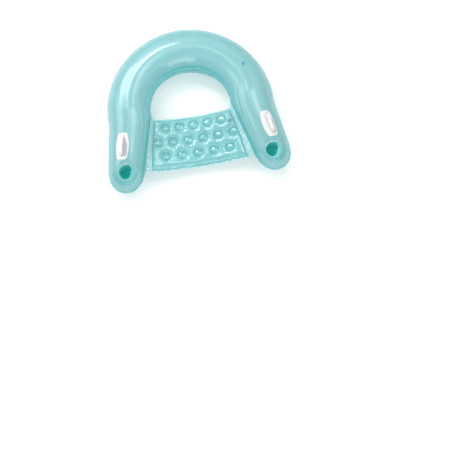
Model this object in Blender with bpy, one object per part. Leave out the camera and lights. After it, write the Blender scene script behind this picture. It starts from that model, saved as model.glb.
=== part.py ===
"""Inflatable pool chair: a horseshoe air tube with a quilted seat slung between its arms.

Lengths are metres, +Z up. The chair lies as it floats: tips of the arms towards -Y, backrest
towards +Y. The origin is under the middle of its box, on the plane that it rests on.
Each sheet of vinyl is a solid of its own. Pieces that are welded together keep weld_gap apart.
"""

import math

import bmesh
import bpy
import numpy as np
from mathutils import Matrix, Vector

# Sheets and fits
vinyl_wall = 0.0008
weld_gap = 0.0003
ring_flange = 0.006
cutter_overrun = 0.01
smooth_angle = math.radians(40.0)

# Horseshoe tube: middle line in plan
bend_half_width = 0.326
bend_reach = 0.329
arm_reach = 0.410
arm_splay = 0.082
splay_power_share = 1.2

# Horseshoe tube: its width and height at the back, beside the sitter and at the tips
back_tube_width = 0.235
side_tube_width = 0.220
tip_tube_width = 0.170
back_tube_height = 0.215
side_tube_height = 0.201
tip_tube_height = 0.158
tip_round_length = 0.117
tip_round_power_share = 2.3

# Horseshoe tube: facets
bend_rows = 12
arm_rows = 5
tip_rows = 4
top_columns = 12
bottom_columns = 11

# Cup holders in the arm tips
cup_setback = 0.080
cup_offset = -0.008
cup_land_height = 0.154
cup_dish_radius = 0.066
cup_hole_radius = 0.0400
cup_flange_radius = 0.0465
cup_land_radius = 0.0485
cup_depth = 0.088
cup_top_radius = 0.0380
cup_bottom_radius = 0.0345
cup_pleat_depth = 0.0016
cup_pleats = 12
cup_tilt = math.radians(14.0)
cup_bead_height = 0.0028
cup_bead_width = 0.0052
cup_floor_lap = 0.0022
cup_pad_clearance = 0.0007
cup_pad_rise = 0.0008
cup_ring_rows = 4
cup_row_spread_share = 1.08
cup_wall_levels = 5
cup_bead_steps = 6

# Handles on the arms
handle_setback = 0.210
handle_lean = math.radians(13.0)
plate_length = 0.140
plate_width = 0.066
plate_end_width = 0.045
plate_thickness = 0.0026
plate_corner_share = 0.82
plate_corner_steepness_share = 4.0
plate_rows = 10
plate_columns = 6
grip_length = 0.096
grip_height = 0.025
grip_width = 0.020
grip_thickness = 0.0055
grip_bend_radius = 0.015
grip_bend_steps = 4
grip_foot_shares = (0.06, 0.3, 0.62, 1.0)
grip_corner_share = 0.55

# Quilted seat
seat_front_setback = 0.084
seat_depth = 0.286
seat_side_flange = 0.012
seat_end_flange = 0.008
seat_front_inset = 0.024
seat_edge_clearance = 0.001
seat_sag = 0.030
quilt_height = 0.015
front_roll_height = 0.018
dimple_rows = 3
dimples_in_middle_row = 6
dimple_radius = 0.0210
dimple_side_margin = 0.028
dimple_rear_margin = 0.052
dimple_front_margin = 0.076
cells_per_dimple = 4
cells_in_side_margin = 2
cells_in_rear_margin = 3
cells_in_front_margin = 4
side_cell_share = 0.72
rear_cell_share = 0.75
front_cell_share = 0.85
front_roll_power_share = 0.8
weld_line_steps = 6

# Gusset strips that join the seat to the arms
gusset_root_clearance = 0.0015
gusset_peak = 0.036
gusset_pleat_height = 0.003
gusset_pleats = 10
gusset_fold_shares = (0.0, 0.35, 0.7, 1.0)
gusset_peak_lap_share = 0.9
gusset_peak_rows = 2

# Air valves
valve_flange_radius = 0.0145
valve_flange_thickness = 0.0009
valve_bore_radius = 0.0042
valve_stem_radius = 0.0062
valve_stem_height = 0.0070
valve_stem_depth = 0.0110
valve_pad_radius = 0.0165
cap_radius = 0.0072
cap_thickness = 0.0016
plug_length = 0.0035
plug_clearance = 0.0003
plug_tip_radius = 0.0028
strap_reach = 0.0125
strap_width = 0.0042
strap_thickness = 0.0011
tab_length = 0.0050
flap_thickness = 0.0007
strap_bevel_share = 0.25
flap_lap = 0.0012
ring_valve_row_share = 0.68
valve_steps = 24
plug_steps = 20
flap_steps = 16

# Finishes: name, colour and roughness
finishes = {
    "skin": ("aqua_vinyl", (0.20, 0.60, 0.60, 1.0), 0.18),
    "deep": ("deep_aqua_vinyl", (0.01, 0.33, 0.31, 1.0), 0.25),
    "pale": ("pale_aqua_vinyl", (0.33, 0.70, 0.71, 1.0), 0.20),
    "white": ("white_soft_plastic", (0.88, 0.88, 0.88, 1.0), 0.45),
    "valve": ("blue_soft_plastic", (0.10, 0.38, 0.58, 1.0), 0.35),
}


def clear_scene():
    """Remove whatever the file holds."""
    for old in list(bpy.data.objects):
        bpy.data.objects.remove(old, do_unlink=True)


def finish_material(name, colour, roughness):
    """A plain finish with a colour and a roughness."""
    material = bpy.data.materials.new(name)
    material.use_nodes = True
    shader = material.node_tree.nodes["Principled BSDF"]
    shader.inputs["Base Color"].default_value = colour
    shader.inputs["Roughness"].default_value = roughness
    shader.inputs["Metallic"].default_value = 0.0
    material.diffuse_color = colour
    return material


def place_mesh(name, points, faces, material, matrix=None):
    """An object from points and faces, shaded smooth but for its sharp edges."""
    mesh = bpy.data.meshes.new(name)
    mesh.from_pydata([tuple(point) for point in points], [], faces)
    mesh.update()
    mesh.shade_smooth()
    mesh.set_sharp_from_angle(angle=smooth_angle)
    mesh.materials.append(material)
    piece = bpy.data.objects.new(name, mesh)
    if matrix is not None:
        piece.matrix_world = matrix
    bpy.context.scene.collection.objects.link(piece)
    return piece


def mesh_object(name, shape, material, matrix=None):
    """An object from a bmesh whose faces are turned outwards."""
    bmesh.ops.recalc_face_normals(shape, faces=shape.faces)
    mesh = bpy.data.meshes.new(name)
    shape.to_mesh(mesh)
    shape.free()
    mesh.shade_smooth()
    mesh.set_sharp_from_angle(angle=smooth_angle)
    mesh.materials.append(material)
    piece = bpy.data.objects.new(name, mesh)
    if matrix is not None:
        piece.matrix_world = matrix
    bpy.context.scene.collection.objects.link(piece)
    return piece


def thicken(piece, wall):
    """Give a sheet its wall on the inner side, with the same triangles on both faces."""
    cut = piece.modifiers.new("Triangles", "TRIANGULATE")
    cut.quad_method = "FIXED"
    shell = piece.modifiers.new("Wall", "SOLIDIFY")
    shell.thickness = wall
    shell.offset = -1.0
    shell.use_even_offset = True
    shell.use_rim = True


def level_sheet(name, points, faces, wall, material):
    """A sheet whose wall is the same height everywhere, so that flat welds stay flat."""
    shape = bmesh.new()
    corners = [shape.verts.new(tuple(point)) for point in points]
    for face in faces:
        shape.faces.new([corners[corner] for corner in face])
    bmesh.ops.triangulate(shape, faces=shape.faces[:])
    grown = bmesh.ops.extrude_face_region(shape, geom=shape.faces[:], use_keep_orig=True)["geom"]
    moved = [item for item in grown if isinstance(item, bmesh.types.BMVert)]
    bmesh.ops.translate(shape, verts=moved, vec=(0.0, 0.0, wall))
    return mesh_object(name, shape, material)


def pierce(piece, matrix, radius, depth):
    """Cut a round hole along the local Z of a frame."""
    shape = bmesh.new()
    bmesh.ops.create_cone(shape, cap_ends=True, segments=plug_steps, radius1=radius, radius2=radius,
                          depth=depth)
    cutter = mesh_object(piece.name + "_cutter", shape, piece.data.materials[0], matrix)
    cutter.hide_render = True
    cutter.display_type = "WIRE"
    hole = piece.modifiers.new("Hole", "BOOLEAN")
    hole.operation = "DIFFERENCE"
    hole.solver = "EXACT"
    hole.object = cutter


# Middle line of the tube

box_front = arm_reach + ring_flange
box_back = bend_reach + back_tube_width / 2 + ring_flange
origin_shift = (box_front - box_back) / 2


def arm_share(y):
    """How far along the arm a place lies: 0 where the bend ends, 1 at the tip."""
    return -y / arm_reach


def arm_middle(y):
    """Distance of the arm's middle line from the chair's middle plane."""
    return bend_half_width + arm_splay * arm_share(y) ** splay_power_share


def arm_normal(y):
    """Outward direction, in plan, across the right arm."""
    slope = arm_splay * splay_power_share * arm_share(y) ** (splay_power_share - 1.0) / arm_reach
    length = math.hypot(1.0, slope)
    return np.array([1.0 / length, slope / length])


def tip_fullness(y):
    """Share of its width that the tube keeps in the rounded tip."""
    into = (-y - (arm_reach - tip_round_length)) / tip_round_length
    into = min(max(into, 0.0), 1.0)
    return (1.0 - into ** tip_round_power_share) ** (1.0 / tip_round_power_share)


def between(first, last, share):
    """Straight mix of two sizes."""
    return first + (last - first) * share


def arm_station(y):
    """Station of the right arm at a place along it."""
    share = arm_share(y)
    return {
        "point": np.array([arm_middle(y), y]),
        "normal": arm_normal(y),
        "half_width": between(side_tube_width, tip_tube_width, share) / 2,
        "half_height": between(side_tube_height, tip_tube_height, share) / 2,
        "fullness": tip_fullness(y),
    }


def bend_station(angle):
    """Station of the right half of the bend, from 0 at the back to a right angle at the arm."""
    point = np.array([bend_half_width * math.sin(angle), bend_reach * math.cos(angle)])
    normal = np.array([point[0] / bend_half_width ** 2, point[1] / bend_reach ** 2])
    share = (angle / (math.pi / 2)) ** splay_power_share
    return {
        "point": point,
        "normal": normal / np.linalg.norm(normal),
        "half_width": between(back_tube_width, side_tube_width, share) / 2,
        "half_height": between(back_tube_height, side_tube_height, share) / 2,
        "fullness": 1.0,
    }


cup_row_step = cup_land_radius / cup_ring_rows * cup_row_spread_share
cup_y = -(arm_reach - cup_setback)


def right_half_stations():
    """Stations from the middle of the back to the right tip; closer together round the cup."""
    stations = [bend_station(math.pi / 2 * row / bend_rows) for row in range(bend_rows + 1)]
    cup_start = cup_y + cup_ring_rows * cup_row_step
    cup_end = cup_y - cup_ring_rows * cup_row_step
    places = [cup_start * row / arm_rows for row in range(1, arm_rows)]
    places += [cup_start - cup_row_step * row for row in range(2 * cup_ring_rows + 1)]
    for row in range(1, tip_rows + 1):
        turn = math.sin(math.pi / 2 * row / tip_rows)
        places.append(cup_end - (arm_reach + cup_end) * turn)
    return stations + [arm_station(place) for place in places]


def mirrored(station):
    """The same station on the left."""
    copy = dict(station)
    copy["point"] = station["point"] * np.array([-1.0, 1.0])
    copy["normal"] = station["normal"] * np.array([-1.0, 1.0])
    return copy


def ring_stations():
    """All stations from the left tip round the back to the right tip."""
    right = right_half_stations()
    return [mirrored(station) for station in reversed(right[1:])] + right


flat_half_angle = math.pi / bottom_columns / 2


def seam_height(station):
    """Height of the weld line, so that the flat under the tube lies on the ground."""
    return station["half_height"] * math.cos(flat_half_angle) + weld_gap / 2 + vinyl_wall


def dish_share(distance):
    """How much of the cup's dish a place takes: 1 beside the cup, 0 past the dish."""
    share = (cup_dish_radius - distance) / (cup_dish_radius - cup_land_radius)
    share = min(max(share, 0.0), 1.0)
    return share * share * (3.0 - 2.0 * share)


def cup_axis(side):
    """Plan point of a cup's axis; side is -1 on the left and 1 on the right."""
    station = arm_station(cup_y)
    point = station["point"] + station["normal"] * cup_offset
    return np.array([side * point[0], point[1]])


def tube_point(station, angle, rise):
    """Point of the section at an angle from the outer weld, above (1) or below (-1) the welds."""
    width = station["half_width"] * station["fullness"]
    height = station["half_height"] * station["fullness"]
    plan = station["point"] + station["normal"] * width * math.cos(angle)
    level = seam_height(station) + rise * (weld_gap / 2 + vinyl_wall + height * math.sin(angle))
    return np.array([plan[0], plan[1], level])


def sunk_into_dish(point):
    """Bring a point of the top sheet to the flat land round the nearer cup, which leans to the tip."""
    side = 1.0 if point[0] > 0.0 else -1.0
    centre = cup_axis(side)
    share = dish_share(float(np.linalg.norm(point[:2] - centre)))
    land = cup_land_height + (point[1] - centre[1]) * math.tan(cup_tilt)
    return np.array([point[0], point[1], between(point[2], land, share)])


def on_land(side, right, ahead, lift=0.0):
    """Point of the flat land round a cup, from sizes along its plane and above it."""
    centre = cup_axis(side)
    return np.array([centre[0] + right,
                     centre[1] + ahead * math.cos(cup_tilt) - lift * math.sin(cup_tilt),
                     cup_land_height + ahead * math.sin(cup_tilt) + lift * math.cos(cup_tilt)])


def flange_directions(stations):
    """Plan directions in which the weld flange leaves the outer and the inner weld line."""
    ends = []
    for angle in (0.0, math.pi):
        line = np.array([tube_point(station, angle, 1.0)[:2] for station in stations])
        along = np.gradient(line, axis=0)
        turn = np.stack([-along[:, 1], along[:, 0]], axis=1)
        if angle > 0.0:
            turn = -turn
        ends.append(turn / np.linalg.norm(turn, axis=1)[:, None])
    return ends


def ring_grid(columns, rise):
    """Rows of points across the tube, with a weld flange at both ends of each row."""
    stations = ring_stations()
    outer, inner = flange_directions(stations)
    grid = []
    for row, station in enumerate(stations):
        points = [tube_point(station, math.pi * column / columns, rise) for column in range(columns + 1)]
        if rise > 0.0:
            points = points[:1] + [sunk_into_dish(point) for point in points[1:-1]] + points[-1:]
        first = points[0] + np.append(outer[row], 0.0) * ring_flange
        last = points[-1] + np.append(inner[row], 0.0) * ring_flange
        grid.append([first] + points + [last])
    for row, inward in ((0, 1), (len(grid) - 1, -1)):
        root = tube_point(stations[row], 0.0, rise)
        along = stations[row]["point"] - stations[row + inward]["point"]
        edge = root + np.append(along / np.linalg.norm(along), 0.0) * ring_flange
        grid[row] = [edge] + [root] * (columns + 1) + [edge]
    return grid


def shape_cup_hole(grid, rows, columns, side):
    """Move the block of points round the cup onto a circle, and give the rim of its hole."""
    middle_row = rows[len(rows) // 2]
    middle_column = columns[len(columns) // 2]
    loop = [(rows[0], column) for column in columns[:-1]]
    loop += [(row, columns[-1]) for row in rows[:-1]]
    loop += [(rows[-1], column) for column in reversed(columns[1:])]
    loop += [(row, columns[0]) for row in reversed(rows[1:])]
    ahead = grid[rows[-1]][middle_column] - grid[rows[0]][middle_column]
    across = grid[middle_row][columns[-1]] - grid[middle_row][columns[0]]
    ahead = ahead[:2] / np.linalg.norm(ahead[:2])
    across = across[:2] - ahead * np.dot(across[:2], ahead)
    across = across / np.linalg.norm(across)
    start = -(len(columns) - 1) / 2
    rim = []
    for step, (row, column) in enumerate(loop):
        turn = 2.0 * math.pi * (step + start) / len(loop)
        direction = across * math.sin(turn) - ahead * math.cos(turn)
        grid[row][column] = on_land(side, *(direction * cup_land_radius))
        rim.append(on_land(side, *(direction * cup_hole_radius)))
    return loop, rim


def ring_sheet(name, columns, rise, material):
    """Top or bottom sheet of the tube. The top one has a level land and a hole for each cup."""
    grid = ring_grid(columns, rise)
    holes = []
    if rise > 0.0:
        count = len(grid)
        middle = columns // 2 + 1
        block = range(middle - cup_ring_rows // 2, middle + cup_ring_rows // 2 + 1)
        first = tip_rows
        last = tip_rows + 2 * cup_ring_rows
        left_rows = list(range(first, last + 1))
        right_rows = [count - 1 - row for row in reversed(left_rows)]
        for side, rows in ((-1.0, left_rows), (1.0, right_rows)):
            holes.append((rows, list(block)) + shape_cup_hole(grid, rows, list(block), side))
    points = []
    number = {}
    for row, line in enumerate(grid):
        for column, point in enumerate(line):
            if row in (0, len(grid) - 1) and column > 1:
                number[row, column] = number[row, 0 if column == columns + 2 else 1]
            else:
                number[row, column] = len(points)
                points.append(point + np.array([0.0, origin_shift, 0.0]))
    faces = []
    for row in range(len(grid) - 1):
        for column in range(columns + 2):
            if any(row in rows[:-1] and column in block[:-1] for rows, block, loop, rim in holes):
                continue
            corners = [number[row, column], number[row, column + 1]]
            corners += [number[row + 1, column + 1], number[row + 1, column]]
            corners = [corner for place, corner in enumerate(corners) if corner not in corners[:place]]
            faces.append(tuple(corners) if rise > 0.0 else tuple(reversed(corners)))
    for rows, block, loop, rim in holes:
        base = len(points)
        points += [point + np.array([0.0, origin_shift, 0.0]) for point in rim]
        for step, place in enumerate(loop):
            after = (step + 1) % len(loop)
            faces.append((number[place], number[loop[after]], base + after, base + step))
    piece = place_mesh(name, points, faces, material)
    thicken(piece, vinyl_wall)
    return piece, points, number


def facet_frame(corners, toward):
    """Frame on the middle of a facet: Z out of it, X as near as can be to a direction."""
    centre = Vector(np.mean(corners, axis=0))
    across = Vector(corners[2] - corners[0])
    other = Vector(corners[3] - corners[1])
    normal = across.cross(other).normalized()
    if normal.z < 0.0:
        normal = -normal
    forward = (toward - normal * toward.dot(normal)).normalized()
    side = normal.cross(forward)
    matrix = Matrix((forward, side, normal)).transposed().to_4x4()
    matrix.translation = centre
    return matrix


# Turned pieces

def turned(name, profile, steps, material, matrix):
    """A closed outline of radii and heights, turned about Z."""
    shape = bmesh.new()
    corners = [shape.verts.new((radius, 0.0, height)) for radius, height in profile]
    edges = [shape.edges.new((corners[place - 1], corner)) for place, corner in enumerate(corners)]
    bmesh.ops.spin(shape, geom=corners + edges, cent=(0.0, 0.0, 0.0), axis=(0.0, 0.0, 1.0),
                   angle=2.0 * math.pi, steps=steps, use_duplicate=False)
    bmesh.ops.remove_doubles(shape, verts=shape.verts, dist=weld_gap / 100)
    return mesh_object(name, shape, material, matrix)


def disc(name, radius, low, high, steps, material, matrix):
    """A flat round plate between two heights."""
    shape = bmesh.new()
    bmesh.ops.create_cone(shape, cap_ends=True, segments=steps, radius1=radius, radius2=radius,
                          depth=high - low, matrix=Matrix.Translation((0.0, 0.0, (low + high) / 2)))
    return mesh_object(name, shape, material, matrix)


# Cup holders

def cup_wall_radius(depth_share, turn):
    """Radius of the pleated wall, full of pleats in the middle and round at both ends."""
    pleat = cup_pleat_depth * math.sin(math.pi * depth_share) * math.cos(cup_pleats * turn)
    return between(cup_top_radius, cup_bottom_radius, depth_share) + pleat


def cup_floor(tag, base, steps, material, matrix):
    """Floor under the wall's foot, with a pad raised inside the wall for a can to stand on."""
    rim = cup_bottom_radius + cup_floor_lap
    pad = cup_bottom_radius - vinyl_wall - cup_pad_clearance
    points = []
    rings = [(rim, base - vinyl_wall), (rim, base), (pad, base), (pad, base + cup_pad_rise)]
    for radius, height in rings:
        for step in range(steps):
            turn = 2.0 * math.pi * step / steps
            points.append((radius * math.cos(turn), radius * math.sin(turn), height))
    faces = [tuple(reversed(range(steps)))]
    for ring in range(len(rings) - 1):
        for step in range(steps):
            after = (step + 1) % steps
            low = ring * steps
            faces.append((low + step, low + after, low + steps + after, low + steps + step))
    top = (len(rings) - 1) * steps
    faces.append(tuple(range(top, top + steps)))
    place_mesh("cup_floor_" + tag, points, faces, material, matrix)


def cup_holder(tag, side, materials):
    """Pleated wall with its weld flange, the bead round its mouth, and its floor."""
    lip = Vector(on_land(side, 0.0, 0.0, weld_gap + vinyl_wall)) + Vector((0.0, origin_shift, 0.0))
    matrix = Matrix.Translation(lip) @ Matrix.Rotation(cup_tilt, 4, "X")
    steps = 2 * cup_pleats
    points = []
    rings = [(cup_flange_radius, 0.0, False)]
    rings += [(None, level / cup_wall_levels, True) for level in range(cup_wall_levels + 1)]
    for radius, share, walled in rings:
        for step in range(steps):
            turn = 2.0 * math.pi * step / steps
            reach = cup_wall_radius(share, turn) if walled else radius
            points.append((reach * math.cos(turn), reach * math.sin(turn), -cup_depth * share))
    faces = []
    for ring in range(len(rings) - 1):
        for step in range(steps):
            after = (step + 1) % steps
            low = ring * steps
            faces.append((low + step, low + after, low + steps + after, low + steps + step))
    wall = place_mesh("cup_wall_" + tag, points, faces, materials["deep"], matrix)
    thicken(wall, vinyl_wall)
    inner = cup_top_radius + weld_gap
    bead = [(inner + cup_bead_width * (1.0 - math.cos(angle)) / 2,
             weld_gap + cup_bead_height * math.sin(angle))
            for angle in (math.pi * place / cup_bead_steps for place in range(cup_bead_steps + 1))]
    turned("cup_bead_" + tag, bead, steps, materials["pale"], matrix)
    cup_floor(tag, -cup_depth - weld_gap, steps, materials["deep"], matrix)


# Handles

def handle_y():
    """Place of a handle's middle along the arm."""
    return -(arm_reach - handle_setback)


def on_arm(y, across, lift):
    """Point at a distance across the right arm's skin from the handle's line, lifted off it."""
    station = arm_station(y)
    radius = (station["half_width"] + station["half_height"]) / 2
    angle = math.pi / 2 - handle_lean - across / radius
    point = tube_point(station, angle, 1.0)
    normal = np.array([station["normal"][0] * math.cos(angle) / station["half_width"],
                       station["normal"][1] * math.cos(angle) / station["half_width"],
                       math.sin(angle) / station["half_height"]])
    return point + normal / np.linalg.norm(normal) * lift


def handle_frame(side):
    """Frame on the skin under a handle: X along the arm to its tip, Z out of the skin."""
    step = plate_length / 4
    ahead = Vector(on_arm(handle_y() - step, 0.0, 0.0) - on_arm(handle_y() + step, 0.0, 0.0))
    centre = Vector(on_arm(handle_y(), 0.0, weld_gap))
    out = Vector(on_arm(handle_y(), 0.0, plate_thickness)) - Vector(on_arm(handle_y(), 0.0, 0.0))
    ahead.normalize()
    out = (out - ahead * out.dot(ahead)).normalized()
    if side < 0.0:
        for line in (ahead, centre, out):
            line.x = -line.x
    centre.y += origin_shift
    matrix = Matrix((ahead, out.cross(ahead), out)).transposed().to_4x4()
    matrix.translation = centre
    return matrix


def plate_half_width(along):
    """Barrel outline of the plate: widest in the middle, cut square at the ends."""
    share = abs(along) / (plate_length / 2)
    corner = min(1.0, (1.0 - share) * plate_length / plate_width * plate_corner_steepness_share)
    straight = between(plate_width, plate_end_width, share * share) / 2
    return straight * between(plate_corner_share, 1.0, corner)


def handle_plate(tag, side, material):
    """Barrel shaped plate bent over the arm."""
    rows = plate_rows
    columns = plate_columns
    points = []
    for lift in (weld_gap + plate_thickness, weld_gap):
        edge = plate_thickness if lift > weld_gap else 0.0
        for row in range(rows + 1):
            along = plate_length * (row / rows - 1.0 / 2.0)
            wide = plate_half_width(along) - edge / 2
            along -= math.copysign(edge / 2, along) if row in (0, rows) else 0.0
            for column in range(columns + 1):
                across = wide * (2.0 * column / columns - 1.0)
                point = on_arm(handle_y() - along, across, lift)
                points.append((side * point[0], point[1] + origin_shift, point[2]))
    faces = []
    layer = (rows + 1) * (columns + 1)

    def spot(row, column, level):
        return level * layer + row * (columns + 1) + column

    for row in range(rows):
        for column in range(columns):
            top = (spot(row, column, 0), spot(row, column + 1, 0),
                   spot(row + 1, column + 1, 0), spot(row + 1, column, 0))
            faces.append(top)
            faces.append(tuple(corner + layer for corner in reversed(top)))
    rim = [(0, column) for column in range(columns)]
    rim += [(row, columns) for row in range(rows)]
    rim += [(rows, column) for column in range(columns, 0, -1)]
    rim += [(row, 0) for row in range(rows, 0, -1)]
    for place, start in enumerate(rim):
        end = rim[(place + 1) % len(rim)]
        faces.append((spot(*end, 0), spot(*start, 0), spot(*start, 1), spot(*end, 1)))
    shape = bmesh.new()
    corners = [shape.verts.new(point) for point in points]
    for face in faces:
        shape.faces.new([corners[corner] for corner in face])
    bmesh.ops.triangulate(shape, faces=shape.faces)
    return mesh_object("handle_plate_" + tag, shape, material)


def grip_path():
    """Middle line of the grip's strap from one foot, over the arch, to the other foot."""
    half = grip_length / 2 - grip_thickness / 2
    top = grip_height - grip_thickness / 2
    foot = grip_width / 2
    path = [(-half, foot * share) for share in grip_foot_shares]
    for step in range(grip_bend_steps + 1):
        turn = math.pi / 2 * step / grip_bend_steps
        path.append((-half + grip_bend_radius * (1.0 - math.cos(turn)),
                     top - grip_bend_radius * (1.0 - math.sin(turn))))
    return path + [(-along, height) for along, height in reversed(path)]


def handle_grip(tag, side, material):
    """Soft strap in an arch. Its feet are rounded about the line that it tips over on."""
    path = grip_path()
    foot = grip_width / 2
    outline = [(1.0, grip_corner_share), (grip_corner_share, 1.0),
               (-grip_corner_share, 1.0), (-1.0, grip_corner_share)]
    outline += [(-across, -out) for across, out in outline]
    shape = bmesh.new()
    rings = []
    for place, (along, height) in enumerate(path):
        before = path[max(place - 1, 0)]
        after = path[min(place + 1, len(path) - 1)]
        length = math.hypot(after[0] - before[0], after[1] - before[1])
        out = (-(after[1] - before[1]) / length, (after[0] - before[0]) / length)
        below = max(foot - height, 0.0)
        wide = math.sqrt(max(foot * foot - below * below, 0.0))
        ring = []
        for across_share, out_share in outline:
            push = out_share * grip_thickness / 2
            ring.append(shape.verts.new((along + out[0] * push, across_share * wide,
                                         height + out[1] * push)))
        rings.append(ring)
    for first, second in zip(rings[:-1], rings[1:]):
        for place in range(len(outline)):
            shape.faces.new((first[place - 1], first[place], second[place], second[place - 1]))
    shape.faces.new(list(reversed(rings[0])))
    shape.faces.new(rings[-1])
    matrix = handle_frame(side) @ Matrix.Translation((0.0, 0.0, plate_thickness + weld_gap))
    pivot = bpy.data.objects.new("grip_pivot_" + tag, None)
    pivot.matrix_world = matrix @ Matrix.Translation((0.0, 0.0, foot))
    bpy.context.scene.collection.objects.link(pivot)
    piece = mesh_object("handle_grip_" + tag, shape, material)
    piece.parent = pivot
    piece.matrix_local = Matrix.Translation((0.0, 0.0, -foot))
    return piece


# Seat

def station_at(y):
    """Station of the right half of the tube at a place along the chair."""
    if y > 0.0:
        return bend_station(math.acos(min(y / bend_reach, 1.0)))
    return arm_station(y)


def station_beside(y):
    """Station whose inner flange edge lies at a place along the chair."""
    place = y
    for _ in range(weld_line_steps):
        station = station_at(place)
        place = y + station["normal"][1] * (station["half_width"] + ring_flange)
    return station_at(place)


def inner_edge(y):
    """Distance of the tube's inner flange edge from the middle plane beside the seat."""
    station = station_beside(y)
    return station["point"][0] - station["normal"][0] * (station["half_width"] + ring_flange)


def seam_level(y):
    """Height of the weld line beside the seat."""
    return seam_height(station_beside(y))


def seat_columns():
    """Shares of the quilt's half width at which its columns of points lie."""
    middle = (seat_edge(seat_front()) + seat_edge(seat_rear())) / 2 - seat_side_flange
    span = 1.0 - dimple_side_margin / middle
    inner = (dimples_in_middle_row - 1) * cells_per_dimple
    shares = [span * (2.0 * place / inner - 1.0) for place in range(inner + 1)]
    for place in range(1, cells_in_side_margin + 1):
        outer = between(span, 1.0, place / cells_in_side_margin)
        shares = [-outer] + shares + [outer]
    return shares


def seat_front():
    """Place of the seat's front edge along the arms."""
    return -(arm_reach - seat_front_setback)


def seat_rear():
    """Place of the seat's rear edge along the arms."""
    return seat_front() + seat_depth


def seat_edge(y):
    """Distance of the seat's side edge from the middle plane; it leaves the arm towards the front."""
    share = min(max((seat_rear() - y) / seat_depth, 0.0), 1.0)
    return inner_edge(y) - seat_edge_clearance - seat_front_inset * share * share


def seat_rows():
    """Places along the chair of the rows of points, from the front weld to the rear weld."""
    start = seat_front() + seat_end_flange
    first = seat_front() + dimple_front_margin
    last = seat_rear() - dimple_rear_margin
    end = seat_rear() - seat_end_flange
    rows = [between(start, first, place / cells_in_front_margin) for place in range(cells_in_front_margin)]
    inner = (dimple_rows - 1) * cells_per_dimple
    rows += [between(first, last, place / inner) for place in range(inner)]
    rows += [between(last, end, place / cells_in_rear_margin) for place in range(cells_in_rear_margin + 1)]
    return rows


def seat_middle_height(share, y):
    """Height between the seat's two sheets, which sag between the arms."""
    return seam_level(y) - seat_sag * (1.0 - share * share)


def dimple_places():
    """Column and row numbers of the round welds, in staggered rows."""
    places = []
    for row in range(dimple_rows):
        shifted = row % 2 == 0
        count = dimples_in_middle_row - (1 if shifted else 0)
        first = cells_in_side_margin + (cells_per_dimple // 2 if shifted else 0)
        for place in range(count):
            places.append((first + place * cells_per_dimple, cells_in_front_margin + row * cells_per_dimple))
    return places


def seat_valve_place():
    """Column and row number of the valve, beside the last dimple of the rear row."""
    column = cells_in_side_margin + (dimples_in_middle_row - 1) * cells_per_dimple
    row = cells_in_front_margin + (dimple_rows - 1) * cells_per_dimple - 1
    return column, row


def seat_puff(column, row, columns, rows):
    """Half thickness of the quilt at a point, before the round welds draw it in."""
    side = min(column, columns - 1 - column)
    end = rows - 1 - row
    if side == 0 or row == 0 or end == 0:
        return 0.0
    edge_share = side_cell_share if side == 1 else 1.0
    if end == 1:
        edge_share *= rear_cell_share
    if row == 1:
        edge_share *= front_cell_share
    roll = 0.0
    if row < cells_in_front_margin:
        roll = math.sin(math.pi * (row / cells_in_front_margin) ** front_roll_power_share)
    return edge_share * between(quilt_height, front_roll_height, roll)


def seat_plan(share, y):
    """Plan point of the quilt; the seat widens with the arms."""
    wide = seat_edge(y) - seat_side_flange
    return np.array([share * wide, y])


def seat_sheet(name, rise, material):
    """Top or bottom sheet: an egg crate of round welds inside a weld flange."""
    shares = seat_columns()
    places = seat_rows()
    columns, rows = len(shares), len(places)
    wall = weld_gap / 2 + vinyl_wall
    plan = {}
    level = {}
    for row, y in enumerate(places):
        for column, share in enumerate(shares):
            plan[column, row] = seat_plan(share, y)
            puff = seat_puff(column, row, columns, rows)
            level[column, row] = seat_middle_height(share, y) + rise * (wall + puff)
    pads = [(place, dimple_radius, 0.0) for place in dimple_places()]
    if rise > 0.0:
        pads.append((seat_valve_place(), valve_pad_radius, quilt_height))
    for (column, row), radius, puff in pads:
        centre = plan[column, row]
        height = seat_middle_height(shares[column], places[row]) + rise * (wall + puff)
        level[column, row] = height
        for turn, (right, ahead) in enumerate(((1, 0), (1, 1), (0, 1), (-1, 1),
                                               (-1, 0), (-1, -1), (0, -1), (1, -1))):
            angle = math.pi / 4 * turn
            spot = (column + right, row + ahead)
            plan[spot] = centre + radius * np.array([math.cos(angle), math.sin(angle)])
            level[spot] = height
    points = []
    number = {}
    for column in range(-1, columns + 1):
        for row in range(-1, rows + 1):
            inside = (min(max(column, 0), columns - 1), min(max(row, 0), rows - 1))
            spot = plan[inside].copy()
            if column != inside[0]:
                spot[0] += math.copysign(seat_side_flange, spot[0])
            if row != inside[1]:
                spot[1] += math.copysign(seat_end_flange, row)
            number[column, row] = len(points)
            points.append((spot[0], spot[1] + origin_shift, level[inside]))
    faces = []
    for column in range(-1, columns):
        for row in range(-1, rows):
            corners = (number[column, row], number[column + 1, row],
                       number[column + 1, row + 1], number[column, row + 1])
            faces.append(corners if rise > 0.0 else tuple(reversed(corners)))
    piece = level_sheet(name, points, faces, -rise * vinyl_wall, material)
    return piece, points, number


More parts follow.
